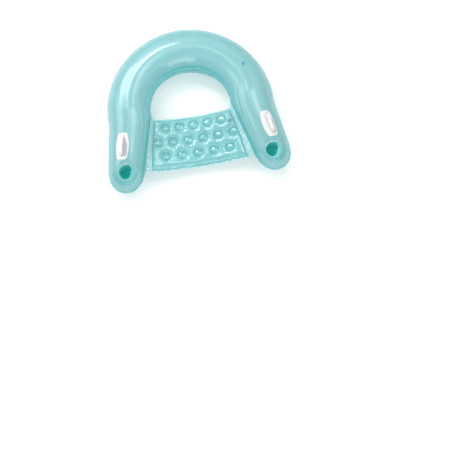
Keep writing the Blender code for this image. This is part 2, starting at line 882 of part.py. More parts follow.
def gusset(tag, side, material):
    """Pleated strip that laps the arm's inner flange and the seat's side flange."""
    start = seat_front() + seat_end_flange
    end = seat_rear()
    rows = 2 * gusset_pleats
    points = []
    for row in range(rows + gusset_peak_rows + 1):
        beyond = max(row - rows, 0) / gusset_peak_rows
        y = between(start, end, min(row / rows, 1.0)) + gusset_peak * beyond
        edge = inner_edge(y)
        outer = edge + ring_flange - gusset_root_clearance
        inner = seat_edge(y) - seat_side_flange + gusset_root_clearance
        inner = between(inner, outer, beyond * gusset_peak_lap_share)
        low = seam_level(y) + weld_gap / 2 + vinyl_wall + weld_gap + vinyl_wall
        for share in gusset_fold_shares:
            lift = gusset_pleat_height if 0.0 < share < 1.0 and row % 2 == 1 else 0.0
            points.append((side * between(outer, inner, share), y + origin_shift, low + lift))
    faces = []
    across = len(gusset_fold_shares)
    for row in range(rows + gusset_peak_rows):
        for column in range(across - 1):
            first = row * across + column
            corners = (first, first + across, first + across + 1, first + 1)
            faces.append(corners if side > 0.0 else tuple(reversed(corners)))
    piece = place_mesh("seat_gusset_" + tag, points, faces, material)
    thicken(piece, vinyl_wall)
    return piece


# Valves

def valve(tag, frame, materials):
    """Valve body through the sheet, its check flap inside and its strapped cap."""
    low = weld_gap
    top = weld_gap + valve_flange_thickness
    body = [(valve_bore_radius, valve_stem_height), (valve_stem_radius, valve_stem_height),
            (valve_stem_radius, top), (valve_flange_radius, top), (valve_flange_radius, low),
            (valve_stem_radius, low), (valve_stem_radius, -valve_stem_depth),
            (valve_bore_radius, -valve_stem_depth)]
    turned(tag + "_valve_body", body, valve_steps, materials["valve"], frame)
    under = -valve_stem_depth - weld_gap
    disc(tag + "_valve_flap", valve_bore_radius + flap_lap, under - flap_thickness, under, flap_steps,
         materials["pale"], frame)
    seat = valve_stem_height + weld_gap
    plug = valve_bore_radius - plug_clearance
    foot = top + weld_gap
    axis_height = foot + strap_thickness / 2
    shape = bmesh.new()
    rooted = plug_length + cap_thickness / 2
    bmesh.ops.create_cone(shape, cap_ends=True, segments=plug_steps, radius1=plug_tip_radius,
                          radius2=plug, depth=rooted,
                          matrix=Matrix.Translation((0.0, 0.0, seat - plug_length + rooted / 2)))
    stem = mesh_object(tag + "_plug_guide", shape, materials["valve"])
    stem.hide_render = True
    stem.display_type = "WIRE"
    crown = seat + cap_thickness
    inside = strap_reach - strap_thickness / 2
    outside = strap_reach + strap_thickness / 2
    flat = seat + cap_thickness - strap_thickness
    bevel = strap_thickness * strap_bevel_share
    outline = [(-cap_radius - tab_length, flat), (inside, flat), (inside, foot + bevel),
               (strap_reach, foot), (outside, foot + bevel), (outside, crown),
               (-cap_radius - tab_length, crown)]
    shape = bmesh.new()
    corners = [shape.verts.new((along, -strap_width / 2, height)) for along, height in outline]
    face = shape.faces.new(corners)
    moved = bmesh.ops.extrude_face_region(shape, geom=[face])["geom"]
    moved = [item for item in moved if isinstance(item, bmesh.types.BMVert)]
    bmesh.ops.translate(shape, verts=moved, vec=(0.0, strap_width, 0.0))
    strap = mesh_object(tag + "_strap_guide", shape, materials["valve"])
    strap.hide_render = True
    strap.display_type = "WIRE"
    pivot = bpy.data.objects.new(tag + "_cap_pivot", None)
    pivot.matrix_world = frame @ Matrix.Translation((strap_reach, 0.0, axis_height))
    bpy.context.scene.collection.objects.link(pivot)
    cap = disc(tag + "_valve_cap", cap_radius, seat, crown + bevel, valve_steps,
               materials["valve"], None)
    from_pivot = Matrix.Translation((-strap_reach, 0.0, -axis_height))
    cap.parent = pivot
    cap.matrix_local = from_pivot
    for guide in (stem, strap):
        guide.parent = pivot
        guide.matrix_local = from_pivot
        join = cap.modifiers.new("Join", "BOOLEAN")
        join.operation = "UNION"
        join.solver = "EXACT"
        join.object = guide


def main():
    clear_scene()
    materials = {use: finish_material(*finish) for use, finish in finishes.items()}
    top, points, number = ring_sheet("ring_top_sheet", top_columns, 1.0, materials["skin"])
    ring_sheet("ring_bottom_sheet", bottom_columns, -1.0, materials["skin"])
    half = (len(ring_stations()) - 1) // 2
    row = half + int(round(ring_valve_row_share * bend_rows))
    column = 1 + top_columns // 2 - 1
    corners = [np.array(points[number[place]]) for place in
               ((row, column), (row, column + 1), (row + 1, column + 1), (row + 1, column))]
    frame = facet_frame(corners, Vector((1.0, 1.0, 0.0)))
    pierce(top, frame, valve_stem_radius + weld_gap, cutter_overrun)
    valve("ring", frame, materials)
    for tag, side in (("left", -1.0), ("right", 1.0)):
        cup_holder(tag, side, materials)
        handle_plate(tag, side, materials["white"])
        handle_grip(tag, side, materials["white"])
        gusset(tag, side, materials["pale"])
    sheet, points, number = seat_sheet("seat_top_sheet", 1.0, materials["pale"])
    seat_sheet("seat_bottom_sheet", -1.0, materials["pale"])
    column, row = seat_valve_place()
    centre = Vector(points[number[column, row]])
    frame = Matrix.Translation(centre)
    pierce(sheet, frame, valve_stem_radius + weld_gap, cutter_overrun)
    valve("seat", frame, materials)


main()
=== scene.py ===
"""Looks of an inflatable pool chair, laid out as an add-on and run as a script.

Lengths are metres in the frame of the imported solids: +Z up, arm tips towards -Y, backrest
towards +Y. Surfaces are worked out with numpy as whole arrays of points.
"""

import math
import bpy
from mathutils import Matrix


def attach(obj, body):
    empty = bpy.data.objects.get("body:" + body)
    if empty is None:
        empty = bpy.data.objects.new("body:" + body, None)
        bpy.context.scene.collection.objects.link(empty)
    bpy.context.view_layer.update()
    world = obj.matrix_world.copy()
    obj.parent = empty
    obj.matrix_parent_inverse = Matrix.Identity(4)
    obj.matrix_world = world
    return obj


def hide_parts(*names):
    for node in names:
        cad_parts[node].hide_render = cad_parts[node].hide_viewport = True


bl_info = {
    "name": "Inflatable pool chair",
    "version": (1, 0, 0),
    "blender": (4, 5, 0),
    "location": "View3D > Sidebar > Pool chair",
    "description": "Skins, cups, handles, quilted seat and valves of an inflatable pool chair",
    "category": "Object",
}

import bmesh
import bpy
import numpy as np
from mathutils import Matrix, Vector

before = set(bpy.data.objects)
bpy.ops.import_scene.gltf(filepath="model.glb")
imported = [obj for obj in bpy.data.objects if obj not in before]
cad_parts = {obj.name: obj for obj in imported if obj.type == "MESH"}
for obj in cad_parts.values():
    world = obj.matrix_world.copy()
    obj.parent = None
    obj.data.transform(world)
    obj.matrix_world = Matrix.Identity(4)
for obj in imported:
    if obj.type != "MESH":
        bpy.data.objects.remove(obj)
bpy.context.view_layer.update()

# Fits that the solids also keep
weld_gap = 0.0003
vinyl_wall = 0.0008
lip = weld_gap + vinyl_wall
flat_half_angle = math.pi / 22
merge_step = 1e-6
search_repeats = 8
quarter_turn = math.pi / 2
full_turn = math.pi * 2


def length_value(label, text, size):
    """A property for a length in metres."""
    return bpy.props.FloatProperty(name=label, description=text, default=size, unit="LENGTH", precision=5)


def share_value(label, text, share):
    """A property for a share or a plain number."""
    return bpy.props.FloatProperty(name=label, description=text, default=share)


def count_value(label, text, count):
    """A property for a whole number."""
    return bpy.props.IntProperty(name=label, description=text, default=count, min=1)


def angle_value(label, text, degrees):
    """A property for an angle, given in degrees."""
    angle = math.radians(degrees)
    return bpy.props.FloatProperty(name=label, description=text, default=angle, subtype="ANGLE")


def colour_value(label, text, colour):
    """A property for a colour."""
    return bpy.props.FloatVectorProperty(name=label, description=text, default=colour, size=3,
                                         subtype="COLOR", min=0.0, max=1.0)


class PoolChairTube(bpy.types.PropertyGroup):
    """Sizes of the horseshoe tube."""
    bend_half_width: length_value("Bend half width", "Middle line's reach to the side in the bend", 0.326)
    bend_reach: length_value("Bend reach", "Middle line's reach to the back", 0.329)
    arm_reach: length_value("Arm reach", "From the bend's end to the tip's weld", 0.410)
    arm_splay: length_value("Arm splay", "How far the arms lean out at the tips", 0.082)
    splay_power_share: share_value("Splay power", "How late along the arm the splay comes", 1.2)
    ease_share: share_value("Ease", "Part of the arm over which the splay is eased in", 0.42)
    back_width: length_value("Back width", "Tube's width in the middle of the back", 0.235)
    side_width: length_value("Side width", "Tube's width where bend and arm meet", 0.220)
    tip_width: length_value("Tip width", "Tube's width that the tip rounds off from", 0.170)
    back_height: length_value("Back height", "Tube's height in the middle of the back", 0.215)
    side_height: length_value("Side height", "Tube's height where bend and arm meet", 0.201)
    tip_height: length_value("Tip height", "Tube's height that the tip rounds off from", 0.158)
    tip_round: length_value("Tip round", "Length over which the tip rounds off", 0.117)
    tip_power_share: share_value("Tip power", "How full the rounded tip is", 2.3)
    flange: length_value("Weld flange", "Width of the welded edge outside the air", 0.006)
    bend_rows: count_value("Bend rows", "Rows of points in half the bend", 190)
    arm_rows: count_value("Arm rows", "Rows of points along the straight of an arm", 112)
    tip_rows: count_value("Tip rows", "Rows of points in a rounded tip", 56)
    top_columns: count_value("Top columns", "Cells across the top skin", 64)
    bottom_columns: count_value("Bottom columns", "Cells across the bottom skin", 40)


class PoolChairPuckers(bpy.types.PropertyGroup):
    """Sizes of the puckers and creases in the skins."""
    tip_depth: length_value("Tip pucker", "Depth of the puckers round the tips", 0.0034)
    bend_depth: length_value("Bend pucker", "Depth of the puckers along the outer bend", 0.0011)
    arm_depth: length_value("Arm pucker", "Depth of the puckers along the arms", 0.0005)
    inner_depth: length_value("Inner pucker", "Depth of the puckers along the inner weld", 0.0009)
    spacing: length_value("Pucker spacing", "Mean distance between puckers", 0.021)
    width: length_value("Pucker width", "Half width of a pucker", 0.0052)
    reach: length_value("Pucker reach", "How far up the wall the longest puckers run", 0.062)
    crease_depth: length_value("Crease depth", "Depth of the long creases inside the arms", 0.0020)
    sway: length_value("Sway", "Height of the soft unevenness of the skins", 0.0006)
    ruffle: length_value("Ruffle", "Height of the waves in the weld flange", 0.0022)
    seed: count_value("Seed", "Start of the random spacing", 11)


class PoolChairCups(bpy.types.PropertyGroup):
    """Sizes of the cup holders."""
    setback: length_value("Setback", "Cup's middle from the tip's weld", 0.080)
    offset: length_value("Offset", "Cup's middle outwards of the arm's middle line", -0.008)
    tilt: angle_value("Tilt", "How far the cups lean to the tips", 14.0)
    land_height: length_value("Land height", "Height of the flat land at the cup's middle", 0.154)
    land_radius: length_value("Land radius", "Radius of the flat land", 0.0485)
    dish_radius: length_value("Dish radius", "Radius at which the dish begins", 0.066)
    hole_radius: length_value("Hole radius", "Radius of the hole in the skin", 0.0400)
    rim_radius: length_value("Rim radius", "Outer radius of the scalloped rim", 0.0465)
    top_radius: length_value("Mouth radius", "Outer radius of the liner at the mouth", 0.0380)
    bottom_radius: length_value("Floor radius", "Outer radius of the liner at the floor", 0.0345)
    depth: length_value("Depth", "From the rim to the floor", 0.088)
    pleat_depth: length_value("Pleat depth", "Depth of the liner's pleats", 0.0022)
    fold: length_value("Fold", "How far the slack wall bulges into the mouth on one side", 0.016)
    scallop_depth: length_value("Scallop depth", "Depth of the rim's scallops", 0.0030)
    pleats: count_value("Pleats", "Pleats round the liner", 12)
    # The crescent on the tip side of each cup is painted shade, not a doubled skin.
    shade_crescent_radius: length_value("Patch radius", "Radius of the doubled skin on the tip side", 0.066)


class PoolChairHandles(bpy.types.PropertyGroup):
    """Sizes of the grab handles."""
    setback: length_value("Setback", "Handle's middle from the tip's weld", 0.210)
    lean: angle_value("Lean", "How far outwards the handle sits on the tube", 13.0)
    plate_length: length_value("Plate length", "Length of the plate", 0.140)
    plate_width: length_value("Plate width", "Width in the middle of the plate", 0.066)
    plate_end_width: length_value("Plate end width", "Width at the plate's ends", 0.045)
    plate_thickness: length_value("Plate thickness", "Thickness of the plate", 0.0026)
    grip_length: length_value("Grip length", "Length of the grip over its feet", 0.096)
    grip_height: length_value("Grip height", "Height of the grip over the plate", 0.025)
    grip_width: length_value("Grip width", "Width of the grip's strap", 0.020)
    grip_thickness: length_value("Grip thickness", "Thickness of the grip's strap", 0.0055)
    grip_bend: length_value("Grip bend", "Radius of the grip's two bends", 0.015)


class PoolChairSeat(bpy.types.PropertyGroup):
    """Sizes of the quilted seat and its gussets."""
    front_setback: length_value("Front setback", "Seat's front edge from the tip's weld", 0.084)
    depth: length_value("Depth", "Seat's depth from front to rear edge", 0.286)
    side_flange: length_value("Side flange", "Width of the weld at the sides", 0.012)
    end_flange: length_value("End flange", "Width of the weld in front and behind", 0.008)
    front_inset: length_value("Front inset", "How far the seat leaves the arm at its front", 0.024)
    edge_clearance: length_value("Edge clearance", "Gap from the flange to the tube's flange", 0.001)
    sag: length_value("Sag", "How far the seat hangs between the arms", 0.030)
    quilt: length_value("Quilt", "Half thickness of the quilt between its welds", 0.0190)
    front_roll: length_value("Front roll", "Half thickness of the roll along the front", 0.0200)
    dimple_radius: length_value("Dimple radius", "Radius of the round welds", 0.0210)
    frill: length_value("Frill", "How far the front edge waves in and out", 0.0022)
    side_margin: length_value("Side margin", "Outer dimple's middle from the side weld", 0.028)
    rear_margin: length_value("Rear margin", "Rear row's middle from the rear edge", 0.052)
    front_margin: length_value("Front margin", "Front row's middle from the front edge", 0.076)
    dimples: count_value("Dimples", "Dimples in the middle row", 6)
    rows: count_value("Rows", "Rows of dimples", 3)
    gusset_peak: length_value("Gusset peak", "How far the gusset runs past the seat's rear edge", 0.036)
    gusset_climb: length_value("Gusset climb", "How far the gusset runs up the tube's wall", 0.014)
    gusset_pleat: length_value("Gusset pleat", "Height of the gusset's pleats", 0.0065)
    gusset_ridges: count_value("Gusset ridges", "Ridges side by side along a gusset", 3)
    gusset_pleats: count_value("Gusset pleats", "Pleats across a gusset", 11)


class PoolChairFinish(bpy.types.PropertyGroup):
    """Colours of the vinyls and plastics."""
    tube: colour_value("Tube", "Tint of the tube's vinyl", (0.375, 0.72, 0.74))
    seat: colour_value("Seat", "Tint of the seat's vinyl", (0.325, 0.735, 0.75))
    cup: colour_value("Cup", "Tint of the cup liners", (0.44, 0.96, 0.94))
    pale: colour_value("Pale", "Tint of the near clear vinyl", (0.54, 0.88, 0.89))
    white: colour_value("White", "Colour of the handles", (0.77, 0.77, 0.78))
    valve: colour_value("Valve", "Colour of the valve caps", (0.05, 0.27, 0.42))
    valve_base: colour_value("Valve base", "Colour of the valve bodies", (0.28, 0.62, 0.66))


class PoolChairStage(bpy.types.PropertyGroup):
    """Camera, lamps and floor."""
    azimuth: angle_value("Azimuth", "Camera's turn about the chair", -8.361)
    elevation: angle_value("Elevation", "Camera's height angle", 71.878)
    roll: angle_value("Roll", "Camera's turn about its own axis", -1.175)
    distance: length_value("Distance", "Camera to the plane through the aim point", 4.9841)
    aim_right: length_value("Aim right", "Origin's place right of the picture's middle", -0.18632)
    aim_up: length_value("Aim up", "Origin's place above the picture's middle", 0.59725)
    bend_end: length_value("Bend end", "Where bend and arms meet, along the chair", -0.01825)
    lens: bpy.props.FloatProperty(name="Lens", description="Focal length in millimetres", default=73.577)
    floor: colour_value("Floor", "Colour of the floor", (0.84, 0.84, 0.84))
    floor_lift: share_value("Floor lift", "Light that the camera sees the floor add", 0.25)
    sky: share_value("Sky", "Strength of the light all round", 1.12)


# Arrays and meshes

def settings(context, *labels):
    """The named groups of settings of the scene."""
    return [getattr(context.scene, "pool_chair_" + label) for label in labels]


def mix(first, last, share):
    """Straight mix of two values."""
    return first + (last - first) * share


def smooth(share):
    """Three squares less two cubes of a share held between 0 and 1."""
    share = np.clip(share, 0.0, 1.0)
    return share * share * (3.0 - 2.0 * share)


def zigzag(place):
    """Straight rises and falls between 0 and 1, one of each per unit."""
    return np.abs(place % 1.0 - 0.5) * 2.0


def bell(offset, half_width):
    """Bell curve: 1 at no offset, falling off over a half width."""
    return np.exp(-(offset / half_width) ** 2)


def round_angles(steps):
    """Angles round a full turn in equal steps."""
    return np.arange(steps) * full_turn / steps


def spread(values, steps):
    """A column of values, repeated along rows."""
    return np.repeat(np.array(values)[:, None], steps, axis=1)


def grid_cells(rows, columns, closed=False):
    """Corner numbers of the cells of a grid of points; closed joins each row's end to its start."""
    row = np.arange(rows - 1)[:, None] * columns
    column = np.arange(columns if closed else columns - 1)[None, :]
    after = (column + 1) % columns
    corners = (row + column, row + after, row + columns + after, row + columns + column)
    return np.stack(corners, -1).reshape(-1, 4)


def ring_cells(rows, columns):
    """Cells of a grid of points that closes both ways."""
    return grid_cells(rows + 1, columns, closed=True) % (rows * columns)


def merged(points, cells):
    """Points that fall together become one, and the cells are renumbered."""
    keys = np.round(points / merge_step).astype(np.int64)
    first, number = np.unique(keys, axis=0, return_index=True, return_inverse=True)[1:]
    return points[first], number.reshape(-1)[cells], first


def point_normals(points, cells):
    """Unit normals: the cross of each cell's diagonals, summed over the cells round a point."""
    cross = np.cross(points[cells[:, 2]] - points[cells[:, 0]], points[cells[:, 3]] - points[cells[:, 1]])
    total = np.zeros_like(points)
    for corner in range(4):
        for axis in range(3):
            total[:, axis] += np.bincount(cells[:, corner], cross[:, axis], len(points))
    return total / np.maximum(np.linalg.norm(total, axis=1), merge_step * merge_step)[:, None]


def new_piece(name, points, cells, masks=None, recalculate=True):
    """A mesh object from arrays. A cell that a pole pinches becomes a triangle."""
    same = cells == np.roll(cells, -1, axis=1)
    pinched = same.sum(axis=1)
    quads = cells[pinched == 0]
    threes = cells[pinched == 1]
    threes = threes[~same[pinched == 1]].reshape(-1, 3)
    corners = np.concatenate([quads.reshape(-1), threes.reshape(-1)]).astype(np.int32)
    totals = np.concatenate([np.full(len(quads), 4), np.full(len(threes), 3)]).astype(np.int32)
    mesh = bpy.data.meshes.new(name)
    mesh.vertices.add(len(points))
    mesh.vertices.foreach_set("co", points.astype(np.float32).reshape(-1))
    mesh.loops.add(len(corners))
    mesh.loops.foreach_set("vertex_index", corners)
    mesh.polygons.add(len(totals))
    mesh.polygons.foreach_set("loop_start", (np.cumsum(totals) - totals).astype(np.int32))
    mesh.polygons.foreach_set("loop_total", totals)
    for label, values in (masks or {}).items():
        layer = mesh.attributes.new(label, "FLOAT", "POINT")
        layer.data.foreach_set("value", values.astype(np.float32))
    mesh.update(calc_edges=True)
    mesh.validate()
    if recalculate:
        shape = bmesh.new()
        shape.from_mesh(mesh)
        bmesh.ops.recalc_face_normals(shape, faces=shape.faces)
        shape.to_mesh(mesh)
        shape.free()
    mesh.shade_smooth()
    piece = bpy.data.objects.new(name, mesh)
    bpy.context.scene.collection.objects.link(piece)
    return piece


def joined(parts):
    """Several (points, cells) put one after another."""
    shift = 0
    points = []
    cells = []
    for part_points, part_cells in parts:
        points.append(part_points)
        cells.append(part_cells + shift)
        shift += len(part_points)
    return np.concatenate(points), np.concatenate(cells)


def capped(sections):
    """Points and cells of a bar through closed sections, with a middle point at either end."""
    middles = sections.mean(axis=1, keepdims=True)
    before, after = (np.broadcast_to(end, sections[:1].shape) for end in (middles[:1], middles[-1:]))
    points = np.concatenate([before, sections, after])
    return points.reshape(-1, 3), grid_cells(len(points), sections.shape[1], closed=True)


def weld_outline(upper_shares):
    """Outline of a weld in shares of its width and half thickness: upper side, edge, lower side."""
    return upper_shares + ((1.0, 0.0),) + tuple((out, -lift) for out, lift in upper_shares[::-1])


def rounded_path(corners, radius, steps):
    """A line through corners whose turns are arcs of about a radius."""
    corners = np.asarray(corners, float)
    line = [corners[0]]
    for before, corner, after in zip(corners[:-2], corners[1:-1], corners[2:]):
        to_before = (before - corner) / np.linalg.norm(before - corner)
        to_after = (after - corner) / np.linalg.norm(after - corner)
        cut = min(radius, np.linalg.norm(before - corner) / 2, np.linalg.norm(after - corner) / 2)
        for step in range(steps + 1):
            share = step / steps
            line.append(corner + to_before * cut * (1.0 - share) ** 2 + to_after * cut * share ** 2)
    line.append(corners[-1])
    return np.array(line)


# Materials

def node(tree, kind, **settings_of_node):
    """A shader node with its settings."""
    made = tree.nodes.new(kind)
    for key, value in settings_of_node.items():
        setattr(made, key, value)
    return made


def set_inputs(made, values):
    """Put plain values on a node's named sockets."""
    for label, value in values.items():
        made.inputs[label].default_value = value


def join(tree, first, output, last, socket):
    """Link an output of one node to a socket of another."""
    tree.links.new(first.outputs[output], last.inputs[socket])


def value_group(label, inputs, output):
    """A new node group of plain values: its tree, and the nodes where it starts and ends."""
    tree = bpy.data.node_groups.new(label, "ShaderNodeTree")
    for name, value in inputs.items():
        socket = tree.interface.new_socket(name, in_out="INPUT", socket_type="NodeSocketFloat")
        socket.default_value = value
    tree.interface.new_socket(output, in_out="OUTPUT", socket_type="NodeSocketFloat")
    return tree, node(tree, "NodeGroupInput"), node(tree, "NodeGroupOutput")


def skin_ripple_group():
    """Height of a vinyl skin: soft waves of a hand's width over a fine orange peel."""
    label = "Skin ripple"
    if label in bpy.data.node_groups:
        return bpy.data.node_groups[label]
    inputs = {"Wave scale": 14.0, "Peel scale": 420.0, "Peel share": 0.15}
    tree, start, end = value_group(label, inputs, "Height")
    place = node(tree, "ShaderNodeTexCoord")
    wave = node(tree, "ShaderNodeTexNoise")
    set_inputs(wave, {"Detail": 2.0})
    peel = node(tree, "ShaderNodeTexNoise")
    set_inputs(peel, {"Detail": 1.0})
    blend = node(tree, "ShaderNodeMix")
    join(tree, place, "Object", wave, "Vector")
    join(tree, place, "Object", peel, "Vector")
    join(tree, start, "Wave scale", wave, "Scale")
    join(tree, start, "Peel scale", peel, "Scale")
    join(tree, start, "Peel share", blend, "Factor")
    join(tree, wave, "Fac", blend, "A")
    join(tree, peel, "Fac", blend, "B")
    join(tree, blend, "Result", end, "Height")
    return tree


def haze_group():
    """A soft mask of drifts, for haze and handling marks."""
    label = "Haze"
    if label in bpy.data.node_groups:
        return bpy.data.node_groups[label]
    tree, start, end = value_group(label, {"Scale": 9.0, "Low": 0.45, "High": 0.75}, "Mask")
    place = node(tree, "ShaderNodeTexCoord")
    drift = node(tree, "ShaderNodeTexNoise")
    set_inputs(drift, {"Detail": 4.0, "Roughness": 0.6})
    span = node(tree, "ShaderNodeMapRange", interpolation_type="SMOOTHSTEP")
    join(tree, place, "Object", drift, "Vector")
    join(tree, start, "Scale", drift, "Scale")
    join(tree, drift, "Fac", span, "Value")
    join(tree, start, "Low", span, "From Min")
    join(tree, start, "High", span, "From Max")
    join(tree, span, "Result", end, "Mask")
    return tree


def placed(tree, group, values):
    """A group in a material, with its own values."""
    made = node(tree, "ShaderNodeGroup", node_tree=group)
    set_inputs(made, values)
    return made


def times(colour, shares):
    """A colour times one share, or a share for each channel, with full alpha."""
    if isinstance(shares, float):
        shares = (shares,) * len(colour)
    return tuple(channel * share for channel, share in zip(colour, shares)) + (1.0,)


def skin_material(name, colour, fade_share, roughness, drift_roughness, haze, ripple, bump, mask,
                  masked_shares):
    """A material with drifts in its tint and roughness and a rippled bump on its Principled BSDF.

    In a drift the tint falls to the fade share and the roughness grows. Where the mask attribute
    stands, the tint is the colour times the masked shares. Gives back the material, its BSDF and
    the tint's node.
    """
    material = bpy.data.materials.new(name)
    material.use_nodes = True
    tree = material.node_tree
    gloss = tree.nodes["Principled BSDF"]
    drift = placed(tree, haze_group(), haze)
    height = placed(tree, skin_ripple_group(), ripple)
    relief = node(tree, "ShaderNodeBump")
    set_inputs(relief, bump)
    join(tree, height, "Height", relief, "Height")
    join(tree, relief, "Normal", gloss, "Normal")
    tint = node(tree, "ShaderNodeMix", data_type="RGBA")
    set_inputs(tint, {"A": times(colour, 1.0), "B": times(colour, fade_share)})
    join(tree, drift, "Mask", tint, "Factor")
    if mask:
        layer = node(tree, "ShaderNodeAttribute", attribute_name=mask)
        changed = node(tree, "ShaderNodeMix", data_type="RGBA")
        set_inputs(changed, {"B": times(colour, masked_shares)})
        join(tree, layer, "Fac", changed, "Factor")
        join(tree, tint, "Result", changed, "A")
        tint = changed
    join(tree, tint, "Result", gloss, "Base Color")
    rough = node(tree, "ShaderNodeMapRange")
    set_inputs(rough, {"To Min": roughness, "To Max": roughness + drift_roughness})
    join(tree, drift, "Mask", rough, "Value")
    join(tree, rough, "Result", gloss, "Roughness")
    return material, gloss, tint


def vinyl(name, colour, clear_share, glow_share, roughness, mask=None, deep_shares=None, wave=0.0012,
          peel=420.0, coat=0.8, coat_roughness=0.07, open_mask=None):
    """Milky tinted vinyl: gloss over tint, a glow share of light let through, and a clear share.

    The tint deepens by the deep shares where the mask attribute stands: on the seat where two sheets are
    welded together, and elsewhere as painted shade. Where the open mask stands, the skin is clear.
    """
    haze = {"Scale": 7.0, "Low": 0.35, "High": 0.75}
    ripple = {"Wave scale": 13.0, "Peel scale": peel, "Peel share": 0.10}
    bump = {"Strength": 0.35, "Distance": wave}
    fade_share, drift_roughness = 0.94, 0.08
    material, gloss, tint = skin_material(name, colour, fade_share, roughness, drift_roughness, haze, ripple,
                                          bump, mask, deep_shares)
    tree = material.node_tree
    set_inputs(gloss, {"IOR": 1.52, "Specular IOR Level": 0.9, "Coat Weight": coat, "Coat IOR": 1.7,
                       "Coat Roughness": coat_roughness})
    through = node(tree, "ShaderNodeBsdfTranslucent")
    join(tree, tint, "Result", through, "Color")
    body = node(tree, "ShaderNodeMixShader")
    body.inputs[0].default_value = glow_share
    join(tree, gloss, 0, body, 1)
    join(tree, through, 0, body, 2)
    window = node(tree, "ShaderNodeBsdfTransparent")
    pale_share = 0.70
    set_inputs(window, {"Color": tuple(mix(channel, 1.0, pale_share) for channel in colour) + (1.0,)})
    whole = node(tree, "ShaderNodeMixShader")
    whole.inputs[0].default_value = clear_share
    if open_mask:
        layer = node(tree, "ShaderNodeAttribute", attribute_name=open_mask)
        share = node(tree, "ShaderNodeMath", operation="MAXIMUM")
        share.inputs[1].default_value = clear_share
        join(tree, layer, "Fac", share, 0)
        join(tree, share, 0, whole, 0)
    join(tree, body, 0, whole, 1)
    join(tree, window, 0, whole, 2)
    join(tree, whole, 0, tree.nodes["Material Output"], "Surface")
    return material


def plastic(name, colour, roughness, peel, mask=None, painted_shadow_share=0.62):
    """Soft moulded plastic: satin, with a faint peel and handling haze in its roughness.

    The colour dims by a painted shadow where the mask attribute stands.
    """
    haze = {"Scale": 38.0, "Low": 0.35, "High": 0.70}
    ripple = {"Wave scale": 60.0, "Peel scale": peel, "Peel share": 0.6}
    bump = {"Strength": 0.25, "Distance": 0.0004}
    fade_share, drift_roughness = 0.93, 0.14
    return skin_material(name, colour, fade_share, roughness, drift_roughness, haze, ripple, bump, mask,
                         painted_shadow_share)[0]


def dress(piece, body, slot, material, *nodes):
    """Give a piece its finish, its body and the solids that it stands for."""
    piece.data.materials.clear()
    piece.data.materials.append(material)
    if nodes:
        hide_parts(*nodes)
    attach(piece, body)


# Tube: middle line and section

# Puckers: least and most of a random share of the mean distance, depth and width, and the shares of
# the longest reach that short, middling and long ones have
distance_shares = (0.45, 1.55)
depth_shares = (0.45, 1.15)
width_shares = (0.7, 1.5)
reach_shares = (0.32, 0.6, 1.0)


def arm_line(tube, y):
    """Right arm at places along it: the middle line splays by a power of the way to the tip, eased
    in by a square and a cube over its first part. Width and height run straight from the bend's end
    to the tip, times a superellipse's fullness."""
    share = np.clip(-y / tube.arm_reach, 0.0, None)
    power = tube.splay_power_share
    ease = share / tube.ease_share
    square, cube = 3.0 - power, power - 2.0
    eased = tube.ease_share ** power * (square * ease ** 2 + cube * ease ** 3)
    eased_slope = tube.ease_share ** (power - 1.0) * (2.0 * square * ease + 3.0 * cube * ease ** 2)
    splay = np.where(ease < 1.0, eased, share ** power)
    slope = np.where(ease < 1.0, eased_slope, power * np.maximum(share, merge_step) ** (power - 1.0))
    slope = slope * tube.arm_splay / tube.arm_reach
    length = np.hypot(1.0, slope)
    into = np.clip((-y - (tube.arm_reach - tube.tip_round)) / tube.tip_round, 0.0, 1.0)
    tip_power = tube.tip_power_share
    return {
        "point": np.stack([tube.bend_half_width + tube.arm_splay * splay, y], -1),
        "normal": np.stack([1.0 / length, slope / length], -1),
        "half_width": mix(tube.side_width, tube.tip_width, share) / 2,
        "half_height": mix(tube.side_height, tube.tip_height, share) / 2,
        "fullness": (1.0 - into ** tip_power) ** (1.0 / tip_power),
    }


def bend_line(tube, angle):
    """Right half of the bend: a quarter ellipse, from angle 0 at the back to a right angle."""
    point = np.stack([tube.bend_half_width * np.sin(angle), tube.bend_reach * np.cos(angle)], -1)
    normal = point / np.array([tube.bend_half_width ** 2, tube.bend_reach ** 2])
    share = (angle / quarter_turn) ** tube.splay_power_share
    return {
        "point": point,
        "normal": normal / np.linalg.norm(normal, axis=1)[:, None],
        "half_width": mix(tube.back_width, tube.side_width, share) / 2,
        "half_height": mix(tube.back_height, tube.side_height, share) / 2,
        "fullness": np.ones_like(angle),
    }


def tube_line(tube):
    """All rows from the left tip round the back to the right tip. Rows of a tip close up as the
    sine of an angle."""
    bend = bend_line(tube, np.linspace(0.0, quarter_turn, tube.bend_rows + 1))
    straight = np.linspace(0.0, tube.tip_round - tube.arm_reach, tube.arm_rows + 1)[1:]
    turn = np.sin(np.linspace(0.0, quarter_turn, tube.tip_rows + 1))[1:]
    arm = arm_line(tube, np.concatenate([straight, straight[-1] - tube.tip_round * turn]))
    right = {key: np.concatenate([bend[key], arm[key]]) for key in bend}
    line = {}
    for key, values in right.items():
        left = values[:0:-1].copy()
        if key in ("point", "normal"):
            left[:, 0] *= -1.0
        line[key] = np.concatenate([left, values])
    return line


def seam_height(line):
    """Height of the weld line, so that the flat under the tube lies on the ground."""
    return line["half_height"] * math.cos(flat_half_angle) + weld_gap / 2 + vinyl_wall


def tube_section(line, angle, rise):
    """Points of the section at angles from the outer weld: an ellipse above or below the seam."""
    width = (line["half_width"] * line["fullness"])[:, None]
    height = ((line["half_height"] + weld_gap / 2 + vinyl_wall) * line["fullness"])[:, None]
    reach = (width * np.cos(angle))[..., None]
    plan = line["point"][:, None, :] + line["normal"][:, None, :] * reach
    level = seam_height(line)[:, None] + rise * height * np.sin(angle)
    return np.concatenate([plan, level[..., None]], -1)


def cup_axis(tube, cups, side):
    """Plan point of a cup's axis before the origin's shift."""
    line = arm_line(tube, np.array([cups.setback - tube.arm_reach]))
    point = line["point"][0] + line["normal"][0] * cups.offset
    return np.array([side * point[0], point[1]])


